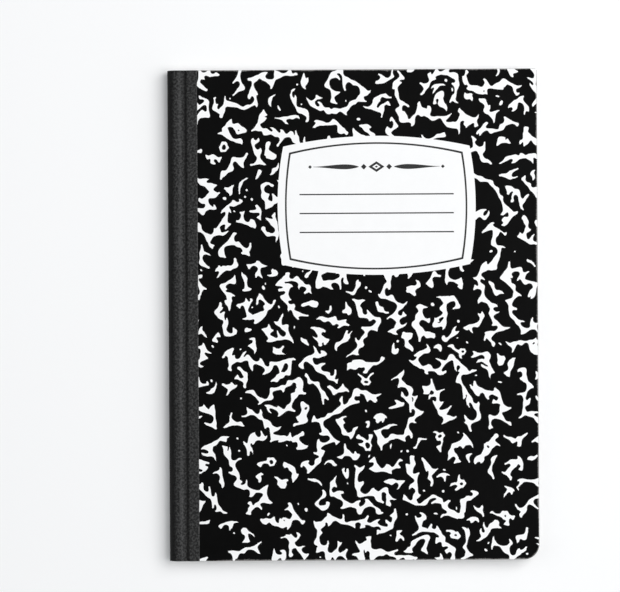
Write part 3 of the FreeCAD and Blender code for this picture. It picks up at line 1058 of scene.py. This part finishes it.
def thickened(tree, surface, lift):
    """Close a surface into a solid that is thicker by a lift along its normals."""
    pushed = {"Mesh": surface, "Offset Scale": lift, "Individual": False}
    raised = add(tree, "GeometryNodeExtrudeMesh", pushed)
    under = add(tree, "GeometryNodeFlipFaces", {"Mesh": surface})
    both = add(tree, "GeometryNodeJoinGeometry")
    tree.links.new(raised.outputs["Mesh"], both.inputs[0])
    tree.links.new(under.outputs["Mesh"], both.inputs[0])
    joined = add(tree, "GeometryNodeMergeByDistance", {"Geometry": both.outputs[0], "Distance": 1e-6})
    return joined.outputs[0]


def finish_tree(tree, given, geometry):
    """End a tree: its copies become real, and it takes the material that it is given."""
    real = add(tree, "GeometryNodeRealizeInstances", {"Geometry": geometry}).outputs[0]
    worn = add(tree, "GeometryNodeSetMaterial", {"Geometry": real, "Material": given["Material"]})
    tree.links.new(worn.outputs[0], tree.nodes.new("NodeGroupOutput").inputs[0])
    return tree


def film_tree():
    tree, given = geometry_tree("printed_film", {"Height": 0.011, "Thickness": 0.00003})
    curve = add(tree, "GeometryNodeMeshToCurve", {"Mesh": given["Geometry"]})
    filled = add(tree, "GeometryNodeFillCurve", {"Curve": curve.outputs[0]}, mode="TRIANGLES")
    lift = add(tree, "ShaderNodeCombineXYZ", {"Z": given["Height"]}).outputs[0]
    placed = add(tree, "GeometryNodeSetPosition", {"Geometry": filled.outputs[0], "Offset": lift})
    return finish_tree(tree, given, thickened(tree, placed.outputs[0], given["Thickness"]))


FILM_TREE = film_tree()
print("film tree:", len(FILM_TREE.nodes), "nodes")

# %% Run a tree and keep its mesh


def run_tree(start, tree, name, **values):
    """Give an object a Geometry Nodes tree, and return what it makes as a plain mesh object."""
    modifier = start.modifiers.new("maker", "NODES")
    modifier.node_group = tree
    for item in tree.interface.items_tree:
        key = item.name.lower().replace(" ", "_")
        if item.item_type == "SOCKET" and item.in_out == "INPUT" and key in values:
            modifier[item.identifier] = values[key]
    bpy.context.view_layer.update()
    graph = bpy.context.evaluated_depsgraph_get()
    mesh = bpy.data.meshes.new_from_object(start.evaluated_get(graph), depsgraph=graph)
    mesh.name = name
    piece = bpy.data.objects.new(name, mesh)
    bpy.context.scene.collection.objects.link(piece)
    start.modifiers.remove(modifier)
    bpy.data.objects.remove(start)
    return piece


def face_outwards(piece):
    """Turn every closed shell of a mesh the right way out."""
    work = bmesh.new()
    work.from_mesh(piece.data)
    bmesh.ops.recalc_face_normals(work, faces=work.faces)
    work.to_mesh(piece.data)
    work.free()


def film(name, loops, height, thickness, material):
    """A printed film over closed outlines; a negative thickness goes downwards."""
    points, edges = [], []
    for loop in loops:
        first, count = len(points), len(loop)
        points += [(x * MM, y * MM, 0) for x, y in loop]
        edges += [(first + k, first + (k + 1) % count) for k in range(count)]
    mesh = bpy.data.meshes.new(name + "_outline")
    mesh.from_pydata(points, edges, [])
    outline = bpy.data.objects.new(name + "_outline", mesh)
    bpy.context.scene.collection.objects.link(outline)
    sizes = {"height": height * MM, "thickness": thickness * MM}
    piece = run_tree(outline, FILM_TREE, name, material=material, **sizes)
    face_outwards(piece)
    tell(piece)
    return piece


# %% [markdown]
# ## The veins of both covers
# On the front the veins run under the tape, up to the trimmed edges and into the label's white border.
# The back has no label, and its own throw of figures.

# %% Label measures
LABEL_LOW, LABEL_HIGH = cad_box("label_panel")
LABEL_MIDDLE = ((LABEL_LOW[0] + LABEL_HIGH[0]) / 2, (LABEL_LOW[1] + LABEL_HIGH[1]) / 2)
SIDE_BOW, END_BOW = 2.95, 5.2
print("label middle at", [round(v, 2) for v in LABEL_MIDDLE], "mm")


def barrel_distance(x, y, low, high, side_bow, end_bow):
    """How far outside a bowed rectangle each spot is, nearly; negative inside."""
    across, along = (high[0] - low[0]) / 2, (high[1] - low[1]) / 2
    x, y = x - (low[0] + high[0]) / 2, y - (low[1] + high[1]) / 2
    ends = np.abs(y) - (along - end_bow * (x / (across - side_bow)) ** 2)
    sides = np.abs(x) - (across - side_bow * (y / (along - end_bow)) ** 2)
    return np.maximum(ends, sides)


# %% Where veins may go
TRIM = 0.12
UNDER_TAPE = 0.8
UNDER_LABEL = 1.0


def on_cover(x, y):
    """How far outside the cover's printable face each spot is."""
    straight = np.maximum.reduce([
        TAPE_EDGE - UNDER_TAPE - x, x - BOOK_RIGHT + TRIM, BOOK_FOOT + TRIM - y, y - BOOK_HEAD + TRIM,
    ])
    round_x, round_y = x - (BOOK_RIGHT - FOOT_CORNER), (BOOK_FOOT + FOOT_CORNER) - y
    corner = np.where((round_x > 0) & (round_y > 0), np.hypot(round_x, round_y) - FOOT_CORNER + TRIM, -9)
    return np.maximum(straight, corner)


def beside_label(x, y):
    """The front cover's printable face, but for the part well under the label."""
    under = -barrel_distance(x, y, LABEL_LOW, LABEL_HIGH, SIDE_BOW, END_BOW) - UNDER_LABEL
    return np.maximum(on_cover(x, y), under)


def cover_veins(name, seed, allowed, height, thickness):
    xs, ys, field = vein_field(seed, allowed)
    loops = tidy_loops(zero_lines(xs, ys, field))
    share = (field < 0).sum() / (allowed(*np.meshgrid(xs, ys)) < 0).sum()
    print(name, len(loops), "outlines, white share", round(float(share), 3))
    return film(name, loops, height, thickness, VEIN_WHITE)


FILM = 0.03
front_veins = cover_veins("front_veins", 7, beside_label, FRONT_OUTER, FILM)
back_veins = cover_veins("back_veins", 11, on_cover, BACK_LOW[2], -FILM)
for veins, body, node in (
    (front_veins, "front_cover", "front_marbling"),
    (back_veins, "back_cover", "back_marbling"),
):
    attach(veins, body)
    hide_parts(node)

# %% [markdown]
# ## The label
# The label isn't stuck on: it is a white barrel shape left open in the print, with a thin frame, three
# writing lines and, where a title would stand, a printer's swelled rule with diamonds.
# Its films are a touch higher than the veins, so the veins melt into its border.

# %% Barrel outlines


def bowed_edge(start, end, bow, steps=48):
    """Points on the arc from start towards end that bulges to the right of the way by a bow."""
    start, end = np.array(start, float), np.array(end, float)
    chord = end - start
    length = np.hypot(*chord)
    outwards = np.array([chord[1], -chord[0]]) / length
    radius = (length**2 / 4 + bow**2) / (2 * bow)
    half = math.asin(length / 2 / radius)
    middle = (start + end) / 2 + outwards * (bow - radius)
    points = []
    for k in range(steps):
        angle = -half + 2 * half * k / steps
        points.append(middle + radius * (math.sin(angle) * chord / length + math.cos(angle) * outwards))
    return points


def barrel(width, height, side_bow, end_bow):
    """A counterclockwise outline round the label's middle; width and height are those of its corners."""
    across, along = width / 2, height / 2
    corners = [(-across, -along), (across, -along), (across, along), (-across, along)]
    points = []
    for k, bow in enumerate((end_bow, side_bow, end_bow, side_bow)):
        points += bowed_edge(corners[k], corners[(k + 1) % 4], bow)
    return np.array(points) + LABEL_MIDDLE


# %% Label ground, frame and lines
# The frame line lies a little off its CAD solid, where the photo shows it.
LABEL_CORNERS = (94.0, 59.7)
FRAME_BOWS = (2.2, 5.05)
FRAME_LINE = 0.85
FRAME_WIDER, FRAME_TALLER, FRAME_SHIFT = 1.0, 0.9, (-0.25, -0.27)
RULE_LINE, CAD_RULE_LINE = 0.64, 0.45
GROUND, INK = 0.035, 0.012
GROUND_TOP = FRONT_OUTER + GROUND


def label_frame_loops():
    low, high = cad_box("label_frame")
    width = high[0] - low[0] - 2 * FRAME_BOWS[0] + FRAME_WIDER
    height = high[1] - low[1] - 2 * FRAME_BOWS[1] + FRAME_TALLER
    outer = barrel(width, height, *FRAME_BOWS)
    inner = barrel(width - 2 * FRAME_LINE, height - 2 * FRAME_LINE, *FRAME_BOWS)
    return [outer + FRAME_SHIFT, inner + FRAME_SHIFT]


def label_rule_loops():
    low, high = cad_box("label_rules")
    middles = np.linspace(low[1] + CAD_RULE_LINE / 2, high[1] - CAD_RULE_LINE / 2, 3)
    half = RULE_LINE / 2
    return [
        [(low[0], y - half), (high[0], y - half), (high[0], y + half), (low[0], y + half)] for y in middles
    ]


def diamond(x, y, width, height):
    return [(x - width / 2, y), (x, y - height / 2), (x + width / 2, y), (x, y + height / 2)]


def swelled_rule(x0, x1, y, swell):
    """A line that is thin at both ends and swells in between, fullest near its start."""
    count = 40
    top, low = [], []
    for k in range(count + 1):
        t = k / count
        half = 0.09 + swell / 2 * math.sin(math.pi * t**0.6) ** 1.5
        x = x0 + (x1 - x0) * t
        top.append((x, y + half))
        low.append((x, y - half))
    return low + top[::-1]


def ornament_loops():
    low, high = cad_box("label_ornament")
    x, y = (low[0] + high[0]) / 2, (low[1] + high[1]) / 2
    height = high[1] - low[1]
    reach = (high[0] - low[0]) / 2
    loops = [
        diamond(x, y, 1.5 * height, height),
        diamond(x, y, 0.75 * height, 0.5 * height),
        diamond(x, y, 1.6, 1.1),
    ]
    for way in (-1, 1):
        loops.append(diamond(x + way * 6.4, y, 2.9, 2.9))
        loops.append(swelled_rule(x + way * 8.9, x + way * (reach - 2.6), y, 2.3))
        loops.append(diamond(x + way * (reach - 1.0), y, 1.9, 1.9))
    return loops


ground_loops = [barrel(*LABEL_CORNERS, SIDE_BOW, END_BOW)]
label_ground = film("label_ground", ground_loops, FRONT_OUTER, GROUND, LABEL_WHITE)
label_border = film("label_border", label_frame_loops(), GROUND_TOP, INK, LABEL_INK)
label_lines = film("label_lines", label_rule_loops(), GROUND_TOP, INK, LABEL_INK)
label_swell = film("label_swell", ornament_loops(), GROUND_TOP, INK, LABEL_INK)
for piece, node, slot in (
    (label_ground, "label_panel", "label_white"),
    (label_border, "label_frame", "label_ink"),
    (label_lines, "label_rules", "label_ink"),
    (label_swell, "label_ornament", "label_ink"),
):
    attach(piece, "front_cover")
    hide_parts(node)

# %% [markdown]
# ## The cloth tape
# One strip of book cloth wraps the spine and holds both boards. It is pressed into a groove beside the
# spine, where the cover bends. Seen from the side its path is half a circle, a flat, the groove and a flat.
# Here it is two halves that meet in the middle of the spine.
# Its points carry a map across and along the cloth, so the weave follows the curve, and a tone: painted
# shade darkens the cloth round the spine and in the groove, a painted highlight lightens the ridge, and
# white threads make it pale at the cut edge.

# %% Path of the tape
SPINE_RADIUS = MIDDLE - BOOK_BOTTOM
GROOVE_DEPTH = 0.6
GROOVE_HALF = 1.7


def tape_path():
    """From mid-spine to the cut edge: place across, height above the middle, and both of the way out."""
    path = []
    centre = BOOK_LEFT + SPINE_RADIUS
    angles = [0, 0.6, *np.linspace(5, 90, 18)]
    for angle in np.radians(angles):
        path.append((centre - SPINE_RADIUS * math.cos(angle), SPINE_RADIUS * math.sin(angle)))
    groove_from, groove_to = HINGE - GROOVE_HALF, HINGE + GROOVE_HALF
    path += [(x, SPINE_RADIUS) for x in np.linspace(centre, groove_from, 4)[1:]]
    for x in np.linspace(groove_from, groove_to, 19)[1:]:
        dip = GROOVE_DEPTH * (0.5 + 0.5 * math.cos(math.pi * (x - HINGE) / GROOVE_HALF))
        path.append((x, SPINE_RADIUS - dip))
    path += [(TAPE_EDGE - back, SPINE_RADIUS) for back in (3.4, 1.6, 0.7, 0.25, 0)]
    return np.array(path)


print("the path of half a tape has", len(tape_path()), "points")

# %% Half a tape
# Each tone is a distance from the spine edge in millimetres, and how light the cloth is there: painted shade
# round the spine and in the groove, a painted highlight on the ridge, and pale white threads at the cut
# edge.
TONES_AND_PAINTED_LIGHT = [
    (0, 0.25), (1.3, 0.25), (1.8, 0.3), (2.3, 0.4), (2.8, 0.56), (3.3, 0.86), (3.8, 1.3), (4.8, 1.35),
    (5.4, 1.4), (5.9, 1.25), (6.4, 1.85), (6.9, 1.8), (7.4, 1.4), (7.9, 1.14), (8.35, 1.1), (8.8, 0.52),
    (9.1, 0.33), (9.4, 0.33), (9.8, 0.6), (10.3, 1.24), (14.5, 1.2), (14.95, 1.95), (15.2, 2.3),
]
RIDGE = BOOK_LEFT + 6.3
FRAYED = 0.4


def tape_half(name, way):
    """One half of the tape, on the front cover (way 1) or the back (way -1)."""
    path = tape_path()
    tangent = np.gradient(path, axis=0)
    tangent /= np.hypot(*tangent.T)[:, None]
    inwards = np.stack([tangent[:, 1], -tangent[:, 0]], 1)
    travelled = np.concatenate([[0], np.cumsum(np.hypot(*np.diff(path, axis=0).T))])
    rows = np.linspace(BOOK_FOOT, BOOK_HEAD, 125)
    ragged = random.Random(5 if way > 0 else 6)
    outer, inner, maps, wear_and_highlight, tone = [], [], [], [], []
    for y in rows:
        fray = ragged.uniform(-0.06, 0.06)
        for k, (x, z) in enumerate(path):
            near_edge = min(1, max(0, (x - TAPE_EDGE + FRAYED) / FRAYED))
            x += fray * near_edge
            outer.append((x, y, MIDDLE + way * z))
            back = path[k] + inwards[k] * CLOTH
            inner.append((back[0] + fray * near_edge, y, MIDDLE + way * back[1]))
            maps.append((travelled[k] * way * MM, y * MM))
            # The tone paints shade round the spine and in the groove, and a highlight on the ridge.
            tone.append(np.interp(path[k][0] - BOOK_LEFT, *zip(*TONES_AND_PAINTED_LIGHT)))
            # On the ridge the rubbed patches are a painted highlight; at the spine edge and the cut edge
            # they are wear.
            painted_ridge_highlight = 0.8 * math.exp(-((x - RIDGE) / 1.5) ** 2)
            round_spine = 0.35 * math.exp(-((x - BOOK_LEFT) / 0.8) ** 2)
            wear_and_highlight.append(max(near_edge, painted_ridge_highlight, round_spine))
    n, m, total = len(path), len(rows), len(outer)
    faces, slots = [], []
    for j in range(m - 1):
        for k in range(n - 1):
            a = j * n + k
            faces.append((a, a + 1, a + n + 1, a + n))
            faces.append((a + total + n, a + total + n + 1, a + total + 1, a + total))
            slots += [0, 0]
        for a in (j * n, j * n + n - 1):
            faces.append((a, a + n, a + n + total, a + total))
            slots.append(1)
    for j in (0, m - 1):
        for k in range(n - 1):
            a = j * n + k
            faces.append((a, a + 1, a + 1 + total, a + total))
            slots.append(1)
    half = make_piece(name, outer + inner, faces, [SPINE_CLOTH, CUT_CLOTH], slots)
    point_values(half, "wear_and_highlight", wear_and_highlight + wear_and_highlight)
    point_values(half, "tone", tone + tone)
    layer = half.data.uv_layers.new(name="cloth")
    maps = np.array(maps + maps)
    corners = np.empty(len(half.data.loops), int)
    half.data.loops.foreach_get("vertex_index", corners)
    layer.data.foreach_set("uv", maps[corners].ravel())
    face_outwards(half)
    smooth(half)
    tell(half)
    return half


tape_front = tape_half("tape_front", 1)
tape_back = tape_half("tape_back", -1)
for half, body, height in ((tape_front, "front_cover", BOOK_TOP), (tape_back, "back_cover", BOOK_BOTTOM)):
    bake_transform(half)
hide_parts("spine_tape", "front_tape")
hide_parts("spine_tape", "back_tape")

# %% [markdown]
# ## The sheets
# One hundred leaves are fifty sheets, folded once and laid inside each other. At the fore-edge, head and
# foot the eye sees their cut edges as fine lines, which no bump map gives from all sides.
# One folded sheet is drawn as a bare surface, and a Geometry Nodes tree nests copies of it: each is scaled
# towards the middle, shifted by a hair, given its own tone, and made as thick as paper.

# %% One folded sheet
SHEETS = 50
LEAF = 0.07
STACK_HALF = (cad_box("front_lining_paper")[0][2] - MIDDLE) - 0.012
FOLD_RADIUS = SPINE_RADIUS - CLOTH - 0.05
FOLD_X = BOOK_LEFT + SPINE_RADIUS
SLIP = 0.04
TRIMMED = 0.05


def folded_sheet():
    """The outermost sheet from fore-edge round the fold to fore-edge, as a strip of faces."""
    shoulder = (FOLD_X + 1.4, FOLD_X + 5.0)
    upper = []
    for angle in np.radians(np.linspace(0, 90, 10)):
        upper.append((FOLD_X - FOLD_RADIUS * math.cos(angle), FOLD_RADIUS * math.sin(angle)))
    for x in np.linspace(*shoulder, 9):
        t = (x - shoulder[0]) / (shoulder[1] - shoulder[0])
        upper.append((x, FOLD_RADIUS + (STACK_HALF - FOLD_RADIUS) * t * t * (3 - 2 * t)))
    right = BOOK_RIGHT - TRIMMED
    turns = [right - FOOT_CORNER + FOOT_CORNER * math.sin(a) for a in np.radians(np.linspace(0, 90, 12))]
    turns += [right - HEAD_CORNER + HEAD_CORNER * math.sin(a) for a in np.radians((0, 30, 60))]
    upper += [(x, STACK_HALF) for x in sorted(turns)]
    path = [(x, -z) for x, z in upper[:0:-1]] + upper
    points, faces = [], []
    for x, z in path:
        foot = max(0, x - (right - FOOT_CORNER))
        head = max(0, x - (right - HEAD_CORNER))
        low = BOOK_FOOT + TRIMMED + FOOT_CORNER - math.sqrt(max(0, FOOT_CORNER**2 - foot**2))
        high = BOOK_HEAD - TRIMMED - HEAD_CORNER + math.sqrt(max(0, HEAD_CORNER**2 - head**2))
        points += [(x, low, MIDDLE + z), (x, high, MIDDLE + z)]
    for k in range(len(path) - 1):
        faces.append((2 * k, 2 * k + 2, 2 * k + 3, 2 * k + 1))
    return make_piece("folded_sheet", points, faces, [PAGE_PAPER])


print(SHEETS, "sheets pressed to", round(2 * STACK_HALF, 2), "mm")

# %% Nest the sheets


def stored(tree, geometry, name, value):
    """Keep a number on each point of a geometry."""
    inputs = {"Geometry": geometry, "Name": name, "Value": value}
    node = add(tree, "GeometryNodeStoreNamedAttribute", inputs, data_type="FLOAT", domain="POINT")
    return node.outputs[0]


def nesting_tree():
    tree, given = geometry_tree("nested_sheets", {
        "Sheets": 50, "Leaf": 0.00007, "Stack half": 0.0042, "Middle": 0.0056, "Fold x": -0.0877,
        "Slip": 0.00004, "Seed": 3,
    })
    line = add(tree, "GeometryNodeMeshLine", {"Count": given["Sheets"], "Offset": (0, 0, 0)})
    number = add(tree, "GeometryNodeInputIndex").outputs[0]
    numbered = stored(tree, line.outputs[0], "sheet", number)
    copies = add(tree, "GeometryNodeInstanceOnPoints", {"Points": numbered, "Instance": given["Geometry"]})
    loose = add(tree, "GeometryNodeRealizeInstances", {"Geometry": copies.outputs[0]})
    sheet = add(tree, "GeometryNodeInputNamedAttribute", {"Name": "sheet"}, data_type="FLOAT").outputs[0]

    def per_sheet(seed_step, low, high):
        seed = math_node(tree, "ADD", given["Seed"], seed_step)
        dice = add(tree, "FunctionNodeRandomValue", {"ID": sheet, "Seed": seed}, data_type="FLOAT")
        dice.inputs[2].default_value = low
        dice.inputs[3].default_value = high
        return dice.outputs[1]

    share = math_node(tree, "DIVIDE", math_node(tree, "ADD", sheet, 1.0), given["Sheets"])
    less = math_node(tree, "DIVIDE", given["Leaf"], given["Stack half"])
    scale = math_node(tree, "MAXIMUM", math_node(tree, "SUBTRACT", share, less), 0.001)
    here = add(tree, "GeometryNodeInputPosition").outputs[0]
    parts = add(tree, "ShaderNodeSeparateXYZ", {0: here}).outputs
    from_fold = math_node(tree, "SUBTRACT", parts["X"], given["Fold x"])
    in_fold = math_node(tree, "LESS_THAN", from_fold, 0.0)
    shrink = math_node(tree, "SUBTRACT", scale, 1.0)
    pull = times(tree, times(tree, in_fold, from_fold), shrink)
    slip_x = times(tree, per_sheet(1, -1, 0), given["Slip"])
    slip_y = times(tree, per_sheet(2, -1, 1), given["Slip"])
    new_x = math_node(tree, "ADD", math_node(tree, "ADD", parts["X"], pull), slip_x)
    new_y = math_node(tree, "ADD", parts["Y"], slip_y)
    above = math_node(tree, "SUBTRACT", parts["Z"], given["Middle"])
    new_z = math_node(tree, "MULTIPLY_ADD", above, scale, given["Middle"])
    place = add(tree, "ShaderNodeCombineXYZ", {"X": new_x, "Y": new_y, "Z": new_z}).outputs[0]
    nested = add(tree, "GeometryNodeSetPosition", {"Geometry": loose.outputs[0], "Position": place})
    toned = stored(tree, nested.outputs[0], "tone", per_sheet(3, 0, 1))
    return finish_tree(tree, given, thickened(tree, toned, given["Leaf"]))


sheets = run_tree(
    folded_sheet(), nesting_tree(), "page_sheets", sheets=SHEETS, leaf=LEAF * MM, stack_half=STACK_HALF * MM,
    middle=MIDDLE * MM, fold_x=FOLD_X * MM, slip=SLIP * MM, seed=3, material=PAGE_PAPER,
)
smooth(sheets)
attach(sheets, "book_block")
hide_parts("page_block")
tell(sheets)

# %% [markdown]
# ## The ruling of the pages
# An open cover shows the first or the last page, ruled in pale blue with a red margin line.
# The lines repeat, so a Geometry Nodes tree sets thin bars in a row. The margin stands at the left of a
# right-hand page, and so near the fore-edge on the last page, which is a left-hand one from its own side.

# %% Rows of lines


def ruling_tree():
    tree, given = geometry_tree("ruled_lines", {
        "Length": 0.17, "Width": 0.0003, "Thickness": 0.00001, "Spacing": 0.0087, "Upright": 0.0,
        "Lines": 24, "First line": (0.0, 0.0, 0.0),
    })
    upright, spacing, first = given["Upright"], given["Spacing"], given["First line"]
    sizes = {"X": given["Length"], "Y": given["Width"], "Z": given["Thickness"]}
    bar = add(tree, "GeometryNodeMeshCube", {"Size": add(tree, "ShaderNodeCombineXYZ", sizes).outputs[0]})
    turn = add(tree, "ShaderNodeCombineXYZ", {"Z": times(tree, upright, math.pi / 2)}).outputs[0]
    turned = add(tree, "GeometryNodeTransform", {"Geometry": bar.outputs[0], "Rotation": turn}).outputs[0]
    down = times(tree, spacing, math_node(tree, "SUBTRACT", upright, 1.0))
    across = times(tree, spacing, upright)
    step = add(tree, "ShaderNodeCombineXYZ", {"X": across, "Y": down}).outputs[0]
    row = {"Count": given["Lines"], "Start Location": first, "Offset": step}
    points = add(tree, "GeometryNodeMeshLine", row).outputs[0]
    bars = add(tree, "GeometryNodeInstanceOnPoints", {"Points": points, "Instance": turned}).outputs[0]
    return finish_tree(tree, given, bars)


RULING_TREE = ruling_tree()
print("ruling tree:", len(RULING_TREE.nodes), "nodes")

# %% Rule both outer pages
RULE_SPACING = 8.7
MARGIN = 31.8
PAGE_LEFT = FOLD_X + 6.5
PAGE_TOP, PAGE_FOOT, PAGE_EDGE = 30, 12, 0.6
BLUE_WIDTH, BLUE_THICKNESS = 0.28, 0.01
RED_WIDTH, RED_THICKNESS, RED_SPACING = 0.3, 0.014, 1.1


def ruled(name, **values):
    return run_tree(make_piece(name + "_start", [], [], []), RULING_TREE, name, **values)


def rule_page(name, height, margin_x):
    """Blue rules and a double red margin on one page."""
    right = BOOK_RIGHT - PAGE_EDGE
    top = BOOK_HEAD - PAGE_TOP
    count = int((top - BOOK_FOOT - PAGE_FOOT) / RULE_SPACING) + 1
    blue = ruled(
        name + "_blue", length=(right - PAGE_LEFT) * MM, width=BLUE_WIDTH * MM,
        thickness=BLUE_THICKNESS * MM, lines=count, spacing=RULE_SPACING * MM, upright=0.0,
        first_line=((right + PAGE_LEFT) / 2 * MM, top * MM, height * MM), material=BLUE_RULE,
    )
    red = ruled(
        name + "_red", length=(BOOK_HEAD - BOOK_FOOT - PAGE_EDGE) * MM, width=RED_WIDTH * MM,
        thickness=RED_THICKNESS * MM, lines=2, spacing=RED_SPACING * MM, upright=1.0,
        first_line=(margin_x * MM, 0.0, height * MM), material=RED_RULE,
    )
    for lines in (blue, red):
        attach(lines, "book_block")
        tell(lines)


rule_page("first_page", MIDDLE + STACK_HALF + 0.004, BOOK_LEFT + MARGIN)
rule_page("last_page", MIDDLE - STACK_HALF - 0.004, BOOK_RIGHT - MARGIN)

# %% [markdown]
# ## Linings and thread
# The linings and the sewing thread have the right shape as solids, so they stay and only change their
# finish.

# %% Finish of the kept nodes


def refinish(node, material):
    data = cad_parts[node].data
    data.materials.clear()
    data.materials.append(material)


refinish("front_lining_paper", LINING_PAPER)
refinish("back_lining_paper", LINING_PAPER)
refinish("sewing_thread", SEWING_COTTON)
print("kept as solids: both linings and the thread")
